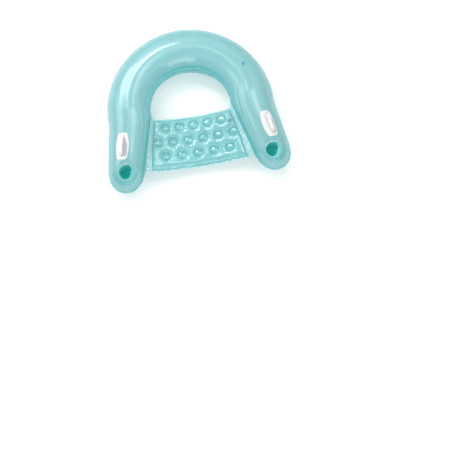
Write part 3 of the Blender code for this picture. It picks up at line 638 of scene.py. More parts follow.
def sunk(tube, cups, points):
    """Bring the top skin to a flat, leaning land round each cup, by a smooth step between two radii."""
    points = points.copy()
    for side in (-1.0, 1.0):
        centre = cup_axis(tube, cups, side)
        away = np.linalg.norm(points[..., :2] - centre, axis=-1)
        share = smooth((cups.dish_radius - away) / (cups.dish_radius - cups.land_radius))
        land = cups.land_height + (points[..., 1] - centre[1]) * math.tan(cups.tilt)
        points[..., 2] = mix(points[..., 2], land, share)
    return points


def on_land(cups, centre, right, ahead, lift):
    """Points from sizes along a cup's leaning land and above it: a turn about X by the tilt."""
    right, ahead, lift = np.broadcast_arrays(right, ahead, lift)
    lean = np.array([math.cos(cups.tilt), math.sin(cups.tilt)])
    return np.stack([centre[0] + right, centre[1] + ahead * lean[0] - lift * lean[1],
                     cups.land_height + ahead * lean[1] + lift * lean[0]], -1)


def arm_place(tube, plan):
    """Row place and distance across for plan points of the right arm, found by a few repeats."""
    place = plan[:, 1]
    for _ in range(search_repeats):
        line = arm_line(tube, place)
        across = ((plan - line["point"]) * line["normal"]).sum(-1)
        place = plan[:, 1] - line["normal"][:, 1] * across
    return arm_line(tube, place), across


def crown_over(tube, cups, plan):
    """Top skin over plan points of either arm: the section's ellipse, sunk round the cup."""
    right = np.stack([np.abs(plan[:, 0]), plan[:, 1]], -1)
    line, across = arm_place(tube, right)
    share = np.clip(across / np.maximum(line["half_width"] * line["fullness"], merge_step), -1.0, 1.0)
    height = (line["half_height"] + weld_gap / 2 + vinyl_wall) * line["fullness"]
    level = seam_height(line) + height * np.sqrt(1.0 - share * share)
    return sunk(tube, cups, np.concatenate([plan, level[:, None]], -1))


def weld_loop(tube):
    """Closed weld line: the outer weld from tip to tip, then the inner weld back."""
    line = tube_line(tube)
    edges = tube_section(line, np.array([0.0, math.pi]), 1.0)
    return np.concatenate([edges[:, 0], edges[-2:0:-1, 1]])


def loop_frame(loop):
    """Distance along a closed line, unit steps along it and unit normals out of it, in plan."""
    step = np.roll(loop, -1, axis=0) - loop
    gap = np.linalg.norm(step[:, :2], axis=1)
    along = np.concatenate([[0.0], np.cumsum(gap)[:-1]])
    tangent = np.roll(loop, -1, axis=0) - np.roll(loop, 1, axis=0)
    tangent = tangent[:, :2] / np.linalg.norm(tangent[:, :2], axis=1)[:, None]
    outward = np.stack([-tangent[:, 1], tangent[:, 0]], -1)
    return along, tangent, outward


def weld_place(loop, plan, block=1500):
    """For plan points, how far along the weld their nearest weld point lies and how far off."""
    along, tangent = loop_frame(loop)[:2]
    place = np.empty(len(plan))
    away = np.empty(len(plan))
    for start in range(0, len(plan), block):
        part = plan[start:start + block]
        gap = ((part[:, None, :] - loop[None, :, :2]) ** 2).sum(-1)
        near = gap.argmin(axis=1)
        offset = part - loop[near, :2]
        along_offset = (offset * tangent[near]).sum(-1)
        place[start:start + block] = along[near] + along_offset
        away[start:start + block] = np.sqrt(gap[np.arange(len(part)), near])
    return place, away


def pucker_tables(tube, puckers, loop):
    """Depth of the puckers along the weld, in a table for each of three reaches up the wall.

    Puckers sit at random steps. Each is a bell in the distance along the weld; its depth depends
    on whether it lies in a tip, in the outer bend, along an arm or on the inner weld.
    """
    tip_start_share, tip_fade_share, bend_fade_share = 1.25, 0.5, 0.5
    samples_each = 8
    along = loop_frame(loop)[0]
    total = along[-1]
    draw = np.random.default_rng(puckers.seed)
    count = int(total / puckers.spacing * 2)
    place = np.cumsum(draw.uniform(*distance_shares, count) * puckers.spacing)
    place = place[place < total - puckers.spacing]
    spot_y = np.interp(place, along, loop[:, 1])
    inner = place > along[len(loop) // 2]
    tip_start = tube.arm_reach - tip_start_share * tube.tip_round
    tip = smooth((-spot_y - tip_start) / (tip_fade_share * tube.tip_round))
    back = smooth(spot_y / tube.bend_reach / bend_fade_share)
    depth = mix(puckers.arm_depth, puckers.bend_depth, back)
    depth = np.where(inner, puckers.inner_depth, depth)
    depth = mix(depth, puckers.tip_depth, tip) * draw.uniform(*depth_shares, len(place))
    width = puckers.width * draw.uniform(*width_shares, len(place))
    kind = draw.integers(0, len(reach_shares), len(place))
    samples = np.arange(0.0, total, puckers.width / samples_each)
    tables = []
    for size in range(len(reach_shares)):
        chosen = kind == size
        hollow = bell(samples[:, None] - place[None, chosen], width[None, chosen])
        tables.append((hollow * depth[None, chosen]).sum(axis=1))
    return samples, tables


def pucker_depth(puckers, tables, place, rise):
    """Depth of the puckers at places along the weld and distances up the wall."""
    samples, heights = tables
    total = np.zeros_like(place)
    for reach_share, height in zip(reach_shares, heights):
        total += np.interp(place, samples, height) * bell(rise, puckers.reach * reach_share)
    return total


def long_creases(puckers, points, around):
    """Creases that run along the inner wall of each arm towards the seat's front corner.

    Each is a bell in the angle round the section, less a shallower one beside it. The angle runs
    straight from its value at the front to its value at the rear.
    """
    front, front_fade = -0.350, 0.06
    rear, rear_fade = 0.110, 0.16
    straight_start, straight_length = -0.34, 0.40
    half_angle, beside, beside_share = 0.050, 1.9, 0.7
    crease_shares = ((2.72, 1.98, 0.8), (2.80, 2.30, 1.0), (2.92, 2.62, 0.9))
    reach = smooth((points[:, 1] - front) / front_fade) * smooth((rear - points[:, 1]) / rear_fade)
    way = np.clip((points[:, 1] - straight_start) / straight_length, 0.0, 1.0)
    total = np.zeros(len(points))
    for start, end, depth_share in crease_shares:
        off = (around - mix(start, end, way)) / half_angle
        total += depth_share * (bell(off, 1.0) - beside_share * bell(off - beside, 1.0))
    return puckers.crease_depth * total * reach


def skin_sway(puckers, points):
    """Soft unevenness: a sum of slow waves. Each has a direction, with its pace along each axis."""
    directions = ((31.0, 17.0, 23.0), (-23.0, 37.0, 11.0), (13.0, -29.0, 41.0))
    phase_step = 1.7
    total = np.zeros(len(points))
    for wave, direction in enumerate(directions):
        total += np.sin(points @ np.array(direction) + phase_step * wave)
    return puckers.sway * total / len(directions)


def ring_border(rows, columns):
    """Row and column numbers round the edge of a block, in order."""
    loop = [(rows[0], column) for column in columns[:-1]]
    loop += [(row, columns[-1]) for row in rows[:-1]]
    loop += [(rows[-1], column) for column in columns[:0:-1]]
    loop += [(row, columns[0]) for row in rows[:0:-1]]
    return np.array(loop)


def cup_well(tube, cups, border, side):
    """Skin from the edge of the cut block in to the cup's mouth, down round its wall and under
    its floor. Rings run straight in plan from the edge to the mouth; the height is the crown's."""
    fan_rings, wall_rings = 20, 14
    floor_shares = (0.92, 0.5, 0.0)
    skirt = 0.0007
    centre = cup_axis(tube, cups, side)
    ray = border[:, :2] - centre
    ray = ray / np.linalg.norm(ray, axis=1)[:, None]
    mouth = on_land(cups, centre, *(ray * cups.hole_radius).T, 0.0)[:, :2]
    rings = [border]
    for share in np.linspace(0.0, 1.0, fan_rings)[1:]:
        rings.append(crown_over(tube, cups, mix(border[:, :2], mouth, share)))
    for share in np.linspace(0.0, 1.0, wall_rings):
        reach = mix(cups.top_radius, cups.bottom_radius, share) + skirt
        low = lip - (cups.depth + 3.0 * skirt) * share - 2.0 * skirt
        rings.append(on_land(cups, centre, *(ray * reach).T, low))
    for share in floor_shares:
        rings.append(on_land(cups, centre, *(ray * cups.bottom_radius * share).T, low - skirt))
    return np.concatenate(rings), grid_cells(len(rings), len(border), closed=True)


def tube_skin(tube, cups):
    """Closed skin of the air in the tube, with both cup wells."""
    line = tube_line(tube)
    angle = np.linspace(0.0, math.pi, tube.top_columns + 1)
    top = sunk(tube, cups, tube_section(line, angle, 1.0))
    edges = tube_section(line, angle[[0, -1]], 1.0)
    under = tube_section(line, np.linspace(0.0, math.pi, tube.bottom_columns + 1), -1.0)
    for sheet in (top, under):
        sheet[:, [0, -1]] = edges
    rows, columns = top.shape[:2]
    cells = grid_cells(rows, columns)
    cell_row, cell_column = np.divmod(np.arange(len(cells)), columns - 1)
    keep = np.ones(len(cells), bool)
    block_reach = cups.rim_radius + tube.flange
    wells = []
    for side in (-1.0, 1.0):
        away = np.linalg.norm(top[..., :2] - cup_axis(tube, cups, side), axis=-1)
        row, column = np.unravel_index(away.argmin(), away.shape)
        near_row = np.abs(line["point"][:, 1] - line["point"][row, 1]) < block_reach
        near_row &= np.sign(line["point"][:, 0]) == side
        block_rows = np.flatnonzero(near_row)
        step = math.pi * line["half_width"][row] / tube.top_columns
        reach = int(math.ceil(block_reach / step))
        block_columns = np.arange(column - reach, column + reach + 1)
        inside = (cell_row >= block_rows[0]) & (cell_row < block_rows[-1])
        inside &= (cell_column >= block_columns[0]) & (cell_column < block_columns[-1])
        keep &= ~inside
        border = ring_border(block_rows, block_columns)
        wells.append(cup_well(tube, cups, top[border[:, 0], border[:, 1]], side))
    below = (under.reshape(-1, 3), grid_cells(rows, tube.bottom_columns + 1)[:, ::-1])
    points, cells = joined([(top.reshape(-1, 3), cells[keep]), below] + wells)
    used = np.unique(cells)
    renumber = np.zeros(len(points), np.int64)
    renumber[used] = np.arange(len(used))
    return merged(points[used], renumber[cells])[:2]


class POOLCHAIR_OT_tube(bpy.types.Operator):
    """Make the tube's skin and the weld flange round it"""
    bl_idname = "poolchair.tube"
    bl_label = "Tube"

    def execute(self, context):
        tube, cups, puckers, finish, stage = settings(context, "tube", "cups", "puckers", "finish", "stage")
        still_height, patch_share, well_share = 0.02, 0.7, 0.95
        points, cells = tube_skin(tube, cups)
        normals = point_normals(points, cells)
        normals = normals * np.sign((normals * (points - points.mean(axis=0))).sum())
        loop = weld_loop(tube)
        tables = pucker_tables(tube, puckers, loop)
        place, away = weld_place(loop, points[:, :2])
        radius = tube.side_width / 2
        around = np.arccos(np.clip(1.0 - away / radius, -1.0, 1.0))
        wall = around * radius
        inner = place > loop_frame(loop)[0][len(loop) // 2]
        crease = long_creases(puckers, points, np.where(inner, math.pi - around, around))
        crease *= points[:, 2] > seam_height(arm_line(tube, np.array([0.0])))[0]
        cup_away, well, painted_shade_crescent = self.cup_masks(tube, cups, points)
        calm = smooth((cup_away - cups.rim_radius) / (cups.land_radius - cups.hole_radius))
        depth = pucker_depth(puckers, tables, place, wall) + crease
        depth = np.where(well, 0.0, depth * calm)
        sway = skin_sway(puckers, points) * calm * (points[:, 2] > still_height)
        points = points - normals * (depth - sway)[:, None]
        points[:, 2] = np.maximum(points[:, 2], weld_gap)
        points[:, 1] += stage.bend_end
        band = self.weld_band(tube, points, wall, inner, well)
        # Painted shade: the mask darkens a crescent on the tip side of each cup, a band with crease lines
        # along the inner wall, and a line at the outer weld.
        masks = {"double_sheets_and_painted_shade": np.clip(patch_share * painted_shade_crescent + band * calm, 0.0, 1.0), "well": well * well_share}
        skin = new_piece("tube_skin", points, cells, masks)
        material = vinyl("tube vinyl", finish.tube, clear_share=0.08, glow_share=0.45, roughness=0.22,
                         mask="double_sheets_and_painted_shade", deep_shares=(0.34, 0.86, 0.86), coat_roughness=0.11, open_mask="well")
        dress(skin, "chair", "tube_vinyl", material, "ring_top_sheet", "ring_bottom_sheet")
        self.flange(tube, puckers, loop, tables, stage, finish)
        return {"FINISHED"}

    def cup_masks(self, tube, cups, points):
        """Distance to the nearer cup's axis, the wells, and a painted shade crescent on the cups' tip side.
        """
        patch_out, patch_back, patch_fade = 0.007, 0.004, 0.0022
        slant_share, overlap, overlap_fade, level_share = 0.25, 0.006, 0.012, 0.6
        cup_away = np.full(len(points), cups.dish_radius)
        well = np.zeros(len(points), bool)
        painted_shade_crescent = np.zeros(len(points))
        for side in (-1.0, 1.0):
            off = points[:, :2] - cup_axis(tube, cups, side)
            near = np.linalg.norm(off, axis=1)
            cup_away = np.minimum(cup_away, near)
            well |= (near < cups.hole_radius + merge_step) & (points[:, 2] < cups.land_height - vinyl_wall)
            middle = off - np.array([side * patch_out, patch_back])
            ring = smooth((cups.shade_crescent_radius - np.linalg.norm(middle, axis=1)) / patch_fade)
            ahead = smooth((-middle[:, 1] + side * middle[:, 0] * slant_share + overlap) / overlap_fade)
            painted_shade_crescent = np.maximum(painted_shade_crescent, ring * ahead * (points[:, 2] > cups.land_height * level_share))
        return cup_away, well, painted_shade_crescent

    def weld_band(self, tube, points, wall, inner, well):
        """How darkly the skin is painted in shade at distances up the wall: on the inner wall a band of
        painted shade that ends in a smooth step, with two bells on it as painted shade in creases, and
        elsewhere one narrow bell of painted shade at the weld."""
        band_share, band_width, band_fade = 0.50, 0.056, 0.022
        low_share, low_place, low_width = 0.35, 0.012, 0.005
        high_share, high_place, high_width = 0.50, 0.036, 0.007
        tip_gap, tip_fade = 0.010, 0.040
        outer_share, outer_width, upper_share = 0.25, 0.010, 0.3
        lines = low_share * bell(wall - low_place, low_width)
        lines += high_share * bell(wall - high_place, high_width)
        band = band_share * smooth((band_width - wall) / band_fade) + lines
        band = band * smooth((points[:, 1] + tube.arm_reach - tip_gap) / tip_fade)
        upper = points[:, 2] > upper_share * tube.tip_height
        return np.where(inner & upper & ~well, band, outer_share * bell(wall, outer_width))

    def flange(self, tube, puckers, loop, tables, stage, finish):
        """Closed strip outside the weld line. It ruffles where the puckers meet it."""
        swell_share, swell_length = 0.22, 0.031
        ruffle_share, ruffle_length, drift, drift_pace = 0.12, 0.019, 2.0, 23.0
        lift_power, thick = 1.5, 0.00055
        outline_shares = weld_outline(((-0.20, 0.6), (0.35, 1.0), (0.90, 0.8)))
        along, _, outward = loop_frame(loop)
        depth = pucker_depth(puckers, tables, along, np.zeros(len(along)))
        root = loop[:, :2] - outward * depth[:, None]
        swell = swell_share * np.sin(along * full_turn / swell_length) * depth / puckers.tip_depth
        wide = tube.flange * (1.0 + swell)
        ruffle = puckers.ruffle * np.clip(depth / puckers.tip_depth + ruffle_share, 0.0, 1.0)
        wave = ruffle * np.sin(along * full_turn / ruffle_length + drift * np.sin(along * drift_pace))
        rings = []
        for out, lift in outline_shares:
            plan = root + outward * (wide * out)[:, None]
            level = loop[:, 2] + wave * max(out, 0.0) ** lift_power + thick * lift
            rings.append(np.concatenate([plan, level[:, None]], -1))
        points = np.stack(rings, 1).reshape(-1, 3)
        points[:, 1] += stage.bend_end
        strip = new_piece("tube_weld_flange", points, ring_cells(len(loop), len(outline_shares)))
        material = vinyl("weld vinyl", finish.pale, clear_share=0.20, glow_share=0.50, roughness=0.15,
                         peel=900.0)
        dress(strip, "chair", "tube_vinyl", material)


# Cup holders

class POOLCHAIR_OT_cups(bpy.types.Operator):
    """Make the pleated cup liners and their scalloped rims"""
    bl_idname = "poolchair.cups"
    bl_label = "Cup holders"

    steps_each_pleat = 16

    def execute(self, context):
        tube, cups, finish, stage = settings(context, "tube", "cups", "finish", "stage")
        # The liner darkens to deep teal as painted shade inside the cup, within a circle off the cup's
        # middle.
        liner = vinyl("cup vinyl", finish.cup, clear_share=0.20, glow_share=0.70, roughness=0.12,
                      mask="floor", deep_shares=(0.015, 0.87, 0.80))
        rim = vinyl("rim vinyl", finish.tube, clear_share=0.0, glow_share=0.35, roughness=0.10)
        for tag, side in (("left", -1.0), ("right", 1.0)):
            centre = cup_axis(tube, cups, side) + np.array([0.0, stage.bend_end])
            self.liner(cups, centre, tag, liner)
            self.rim(cups, centre, tag, rim)
        return {"FINISHED"}

    def liner(self, cups, centre, tag, material):
        """Closed thin cup. Its radius falls with depth, less pleats that grow and fade with it and
        less a bell in depth on one side, where the slack wall bulges in."""
        wall, swell, wall_rings = 0.0006, 0.0012, 30
        pleat_power, fade_power, fade_share = 0.7, 0.6, 1.15
        bulge_turn, bulge_power, bulge_place, bulge_width = 0.35, 1.3, 0.10, 0.09
        under_shares, floor_shares = (0.0, 0.6, 0.97), (0.9, 0.75, 0.5, 0.25, 0.0)
        bead_out, bead_lift = (0.0012, 0.0030, 0.0030, 0.0006), (0.0006, 0.0004, 0.0010, 0.0012)
        steps = cups.pleats * self.steps_each_pleat
        turn = round_angles(steps)
        fold = np.abs(np.sin(cups.pleats * turn / 2)) ** pleat_power
        depth = spread(np.linspace(0.0, 1.0, wall_rings), steps)
        deep = np.sin(math.pi * np.minimum(depth * fade_share, 1.0)) ** fade_power
        side = mix(cups.top_radius, cups.bottom_radius, depth) - cups.pleat_depth * deep * (1.0 - fold)
        facing = np.clip(np.cos(turn + bulge_turn), 0.0, 1.0) ** bulge_power
        side = side - cups.fold * facing * bell(depth - bulge_place, bulge_width)
        under = spread(under_shares, steps) * cups.bottom_radius
        across = spread(floor_shares, steps)
        brim = cups.top_radius + spread(bead_out, steps)
        radius = np.concatenate([under, side[::-1], brim, side - wall, (cups.bottom_radius - wall) * across])
        level = np.concatenate([np.full(under.shape, -cups.depth - wall), -cups.depth * depth[::-1],
                                spread(bead_lift, steps), (wall - cups.depth) * depth,
                                wall - cups.depth + swell * (1.0 - across ** 2)])
        inside = np.concatenate([np.ones(under.shape), np.zeros(side.shape), np.zeros(brim.shape),
                                 np.ones(side.shape), np.ones(across.shape)])
        # Painted shade: the inside of the cup darkens within an off-centre circle.
        floor = inside * self.painted_shade_mask(cups, turn, radius)
        points = on_land(cups, centre, radius * np.cos(turn), radius * np.sin(turn), lip + level)
        points, cells, first = merged(points.reshape(-1, 3), grid_cells(len(radius), steps, closed=True))
        piece = new_piece("cup_liner_" + tag, points, cells, {"floor": floor.reshape(-1)[first]})
        dress(piece, "chair", "cup_vinyl", material, "cup_wall_" + tag, "cup_floor_" + tag)

    def painted_shade_mask(self, cups, turn, radius):
        """Smooth step at the edge of the painted shade inside the cup: a circle off the cup's middle, with a
        wave of two periods to a pleat."""
        middle_right, middle_back = -0.0075, 0.001
        shade_radius, ripple, fade = 0.0280, 0.0022, 0.0035
        off = np.hypot(radius * np.cos(turn) - middle_right, radius * np.sin(turn) - middle_back)
        return smooth((shade_radius - ripple * np.cos(2.0 * cups.pleats * turn) - off) / fade)

    def rim(self, cups, centre, tag, material):
        """Ring whose outer edge and bead swell in scallops, carried round the mouth."""
        clearance, bead_height, bead_swell, mean_share = 0.0007, 0.0030, 0.0012, 0.6
        section_shares = ((0.0, 0.30), (0.02, 0.75), (0.14, 1.0), (0.28, 0.95), (0.42, 0.55), (0.55, 0.34),
                          (0.75, 0.30), (0.92, 0.30), (1.0, 0.20), (1.0, 0.06), (0.80, 0.02), (0.45, 0.02),
                          (0.15, 0.02), (0.02, 0.08))
        steps = cups.pleats * self.steps_each_pleat
        turn = round_angles(steps)[:, None]
        scallop = np.abs(np.cos(cups.pleats * turn / 2))
        inner = cups.top_radius + clearance
        width = cups.rim_radius - inner + cups.scallop_depth * (scallop - mean_share)
        bead = bead_height + bead_swell * scallop
        out, lift = np.array(section_shares).T
        radius = inner + width * out
        points = on_land(cups, centre, radius * np.cos(turn), radius * np.sin(turn), lip + bead * lift)
        piece = new_piece("cup_rim_" + tag, points.reshape(-1, 3), ring_cells(steps, len(out)))
        dress(piece, "chair", "clear_vinyl", material, "cup_bead_" + tag)


# Handles

def on_arm(tube, handles, y, across, lift):
    """Points over the right arm's skin, at distances across it from the handle's line."""
    y, across, lift = np.broadcast_arrays(np.asarray(y, float), across, lift)
    line = arm_line(tube, y.reshape(-1))
    radius = (line["half_width"] + line["half_height"]) / 2
    angle = quarter_turn - handles.lean - across.reshape(-1) / radius
    width = line["half_width"] * line["fullness"]
    height = line["half_height"] * line["fullness"]
    plan = line["point"] + line["normal"] * (width * np.cos(angle))[:, None]
    level = seam_height(line) + weld_gap / 2 + vinyl_wall + height * np.sin(angle)
    out = np.concatenate([line["normal"] * np.cos(angle)[:, None] / line["half_width"][:, None],
                          (np.sin(angle) / line["half_height"])[:, None]], -1)
    out = out / np.linalg.norm(out, axis=1)[:, None]
    points = np.concatenate([plan, level[:, None]], -1) + out * lift.reshape(-1)[:, None]
    return points.reshape(y.shape + (3,))


def handle_frame(tube, handles, side, shift):
    """Frame on the skin under a handle: X along the arm to its tip, Z out of the skin."""
    middle = handles.setback - tube.arm_reach
    step = handles.plate_length / 4
    places = np.array([middle - step, middle + step, middle, middle])
    lifts = np.array([0.0, 0.0, weld_gap, weld_gap + handles.plate_thickness])
    ahead, behind, centre, above = (Vector(point) for point in on_arm(tube, handles, places, 0.0, lifts))
    forward = (ahead - behind).normalized()
    out = above - centre
    out = (out - forward * out.dot(forward)).normalized()
    for line in (forward, centre, out):
        line.x *= side
    centre.y += shift
    matrix = Matrix((forward, out.cross(forward), out)).transposed().to_4x4()
    matrix.translation = centre
    return matrix


class POOLCHAIR_OT_handles(bpy.types.Operator):
    """Make the barrel shaped handle plates and the grips that stand on them"""
    bl_idname = "poolchair.handles"
    bl_label = "Handles"

    def execute(self, context):
        tube, handles, finish, stage = settings(context, "tube", "handles", "finish", "stage")
        white = plastic("handle plastic", finish.white, roughness=0.34, peel=700.0)
        # The plate's material dims by a painted shadow of the strap where the hollow's mask stands.
        plate_white = plastic("handle plate plastic", finish.white, roughness=0.34, peel=700.0, mask="hollow_and_painted_shadow")
        for tag, side in (("left", -1.0), ("right", 1.0)):
            self.plate(tube, handles, tag, side, stage.bend_end, plate_white)
            self.grip(tube, handles, tag, side, stage.bend_end, white)
        return {"FINISHED"}

    def plate(self, tube, handles, tag, side, shift, material):
        """Barrel outline swept in from its edge: rounded edge, raised border, flat field with a finger hollow
        beside the strap, whose share also dims the colour as the strap's painted shadow. The outline is a
        superellipse narrowed by the square of the way to its ends."""
        steps, power = 240, 9.0
        field_rings, field_step, field_share = 16, 0.05, 0.72
        border_shares = [(0.80, 0.74), (0.86, 0.80), (0.90, 0.98), (0.955, 1.0), (0.985, 0.88), (1.0, 0.60),
                         (1.0, 0.30), (0.985, 0.08), (0.95, 0.0), (0.80, 0.0), (0.5, 0.0), (0.0, 0.0)]
        clearance, pocket_depth, pocket_reach_share, pocket_lift_share = 0.0004, 0.0008, 0.88, 0.5
        turn = round_angles(steps)
        ray_x, ray_y = np.cos(turn), np.sin(turn)
        half = handles.plate_length / 2
        flat = np.abs(ray_y) * half * 2 / handles.plate_width
        outline = half / (np.abs(ray_x) ** power + flat ** power) ** (1 / power)
        along = outline * ray_x
        share = np.abs(along) / half
        across = outline * ray_y * (mix(handles.plate_width, handles.plate_end_width, share * share)
                                    / handles.plate_width)
        profile_shares = [(field_step * ring, field_share) for ring in range(field_rings)] + border_shares
        middle = handles.setback - tube.arm_reach
        rings = []
        shades = []
        for reach, lift in profile_shares:
            hollow_and_painted_shadow = self.hollow_and_painted_shadow(side, along * reach, side * across * reach)
            hollow_and_painted_shadow = hollow_and_painted_shadow * (reach < pocket_reach_share) * (lift > pocket_lift_share)
            height = weld_gap + (handles.plate_thickness + clearance) * lift - pocket_depth * hollow_and_painted_shadow
            # The hollow's share is also the painted shadow that dims the plate's colour.
            shades.append(hollow_and_painted_shadow)
            rings.append(on_arm(tube, handles, middle - along * reach, across * reach, height))
        points = np.stack(rings).reshape(-1, 3)
        points[:, 0] *= side
        points[:, 1] += shift
        points, cells, first = merged(points, grid_cells(len(profile_shares), steps, closed=True))
        masks = {"hollow_and_painted_shadow": np.concatenate(shades)[first]}
        piece = new_piece("handle_plate_skin_" + tag, points, cells, masks)
        dress(piece, "chair", "white_plastic", material, "handle_plate_" + tag)

    def hollow_and_painted_shadow(self, side, ahead, right):
        """Finger hollow beside the strap, whose share also dims the plate as painted shadow: smooth steps at
        both sides of a line that leaves the strap towards the tip, and at the hollow's end."""
        start, end, end_fade = -0.050, 0.055, 0.006
        aside, aside_more, spread_out, spread_more = 0.0115, 0.0015, 0.005, 0.002
        least, growth, fade = 0.004, 0.0105, 0.004
        way = smooth((ahead - start) / -start)
        line = aside + aside_more * side + (spread_out + spread_more * side) * way
        return smooth((least + growth * way - np.abs(right - line)) / fade) * smooth((end - ahead) / end_fade)

    def grip(self, tube, handles, tag, side, shift, material):
        """Strap in an arch: a rounded bar section carried along straight, bend and straight. Its
        feet are rounded in plan, and a bell narrows it in the middle."""
        sole, bend_share, bend_steps, rows, columns = 0.0006, 1.3, 14, 90, 28
        crown, crown_share, toe_share = 0.0016, 0.8, 0.10
        waist_share, waist_reach_share, square_power = 0.08, 0.5, 0.55
        half = handles.grip_length / 2 - handles.grip_thickness / 2
        top = handles.grip_height - handles.grip_thickness / 2
        foot = handles.grip_width / 2
        arch = rounded_path([(-half, sole), (-half, top), (half, top), (half, sole)],
                            handles.grip_bend * bend_share, bend_steps)
        gaps = np.concatenate([[0.0], np.cumsum(np.linalg.norm(np.diff(arch, axis=0), axis=1))])
        places = np.linspace(0.0, 1.0, rows) * gaps[-1]
        path = np.stack([np.interp(places, gaps, arch[:, axis]) for axis in (0, 1)], -1)
        arched = np.clip(1.0 - (path[:, 0] / half) ** 2, 0.0, 1.0)
        path[:, 1] += crown * arched * (path[:, 1] > top * crown_share)
        step = np.gradient(path, axis=0)
        step = step / np.linalg.norm(step, axis=1)[:, None]
        out = np.stack([-step[:, 1], step[:, 0]], -1)
        below = np.clip(foot - path[:, 1], 0.0, None)
        wide = np.sqrt(np.clip(foot * foot - below * below, (toe_share * foot) ** 2, None))
        waist = 1.0 - waist_share * bell(path[:, 0], half * waist_reach_share)
        turn = round_angles(columns)
        bar_x, bar_z = (np.sign(wave) * np.abs(wave) ** square_power for wave in (np.cos(turn), np.sin(turn)))
        push = bar_z[None, :] * handles.grip_thickness / 2
        sections = np.stack([path[:, :1] + out[:, :1] * push, (wide * waist)[:, None] * bar_x[None, :],
                             path[:, 1:] + out[:, 1:] * push], -1)
        points, cells = capped(sections)
        matrix = handle_frame(tube, handles, side, shift)
        matrix = matrix @ Matrix.Translation((0.0, 0.0, handles.plate_thickness + weld_gap))
        points = points @ np.array(matrix.to_3x3()).T + np.array(matrix.translation)
        piece = new_piece("handle_strap_" + tag, *merged(points, cells)[:2])
        dress(piece, "grip_" + tag, "white_plastic", material, "handle_grip_" + tag)


# Seat

def inner_edge(tube, y):
    """Half distance between the arms' inner flanges, and the weld's height there."""
    place = y.copy()
    for _ in range(search_repeats):
        angle = np.arccos(np.clip(place / tube.bend_reach, 0.0, 1.0))
        arm = arm_line(tube, np.minimum(place, 0.0))
        bend = bend_line(tube, angle)
        on_bend = place > 0.0
        line = {key: np.where(on_bend if arm[key].ndim == 1 else on_bend[:, None], bend[key], arm[key])
                for key in arm}
        reach = line["half_width"] + tube.flange
        place = y + line["normal"][:, 1] * reach
    return line["point"][:, 0] - line["normal"][:, 0] * reach, seam_height(line)


def seat_edge(tube, seat, y):
    """Half width of the seat's sheets: it follows the arms and leaves them by a square of the way
    to the front. Also the weld's height."""
    edge, level = inner_edge(tube, y)
    share = np.clip((seat.front_setback - tube.arm_reach + seat.depth - y) / seat.depth, 0.0, 1.0)
    return edge - seat.edge_clearance - seat.front_inset * share * share, level


def seat_spots(tube, seat):
    """Middles of the round welds in share of half width and place along the chair, and the seat's
    front and rear."""
    front = seat.front_setback - tube.arm_reach
    rear = front + seat.depth
    edges = seat_edge(tube, seat, np.array([front, rear]))[0]
    outermost = 1.0 - seat.side_margin / (edges.mean() - seat.side_flange)
    pitch = 2.0 * outermost / (seat.dimples - 1)
    spots = []
    for row in range(seat.rows):
        y = mix(front + seat.front_margin, rear - seat.rear_margin, row / (seat.rows - 1))
        short = 1 - row % 2
        start = -outermost + pitch / 2 * short
        spots += [(start + pitch * place, y) for place in range(seat.dimples - short)]
    return np.array(spots), front, rear


def sines(place, *waves):
    """Sum of sines of a place. A wave is its height, its pace and its phase."""
    return sum(height * np.sin(place * pace + phase) for height, pace, phase in waves)


def edge_frill(x):
    """Waves of the seat's free edges: a slow one whose phase drifts, and a quicker one."""
    drift = sines(x, (2.0, 37.0, 0.0))
    return sines(x, (1.0, 118.0, drift), (0.6, 271.0, 1.0))


def quarter(distance, reach):
    """Quarter ellipse: rises steeply from 0 and levels off at the reach."""
    share = np.clip(distance / reach, 0.0, 1.0)
    return np.sqrt(np.clip(1.0 - (1.0 - share) ** 2, 0.0, 1.0))


def seat_puff(seat, plan, spots, wide, front, rear):
    """Half thickness of the quilt, and how near each point is to a weld (0 on it).

    Round welds and edges are distances. The skin leaves a round weld as a quarter ellipse of the
    distance, cut by radial puckers (share, count round the weld and phase), and an edge as a sine.
    The least of them wins, rounded by a soft minimum.
    """
    spot_reach, side_reach, rear_reach, front_reach = 0.024, 0.024, 0.022, 0.028
    pucker_shares, uneven_share, uneven_pace = ((0.07, 9.0, 2.1), (0.06, 15.0, 1.3)), 0.12, 2.7
    edge_power, sharpness, least_share, roll_fade = 0.85, 9.0, 0.80, 0.018
    rises = []
    for number, spot in enumerate(spots):
        off = plan - spot
        turn = np.arctan2(off[:, 1], off[:, 0])
        pucker = sum(share * np.cos(count * turn + phase * number) for share, count, phase in pucker_shares)
        reach = spot_reach * (1.0 + pucker + uneven_share * math.sin(uneven_pace * number))
        rises.append(quarter(np.linalg.norm(off, axis=1) - seat.dimple_radius, reach))
    slant_pace = 130.0
    ripple = 1.0 + sines(plan[:, 0], (0.10, 95.0, 0.0), (0.08, 61.0, plan[:, 1] * slant_pace))
    for edge, reach in ((wide - np.abs(plan[:, 0]), side_reach),
                        (rear - seat.end_flange - plan[:, 1], rear_reach),
                        (plan[:, 1] - front - seat.end_flange, front_reach)):
        rises.append(np.sin(quarter_turn * np.clip(edge / (reach * ripple), 0.0, 1.0)) ** edge_power)
    rises = np.stack(rises)
    near = rises.min(axis=0)
    soft = -np.log(np.exp(-sharpness * rises).sum(axis=0)) / sharpness
    height = np.clip(np.maximum(soft, least_share * near), 0.0, 1.0)
    roll = smooth((front + seat.front_margin - seat.dimple_radius - plan[:, 1]) / roll_fade)
    return height * mix(seat.quilt, seat.front_roll, roll), near


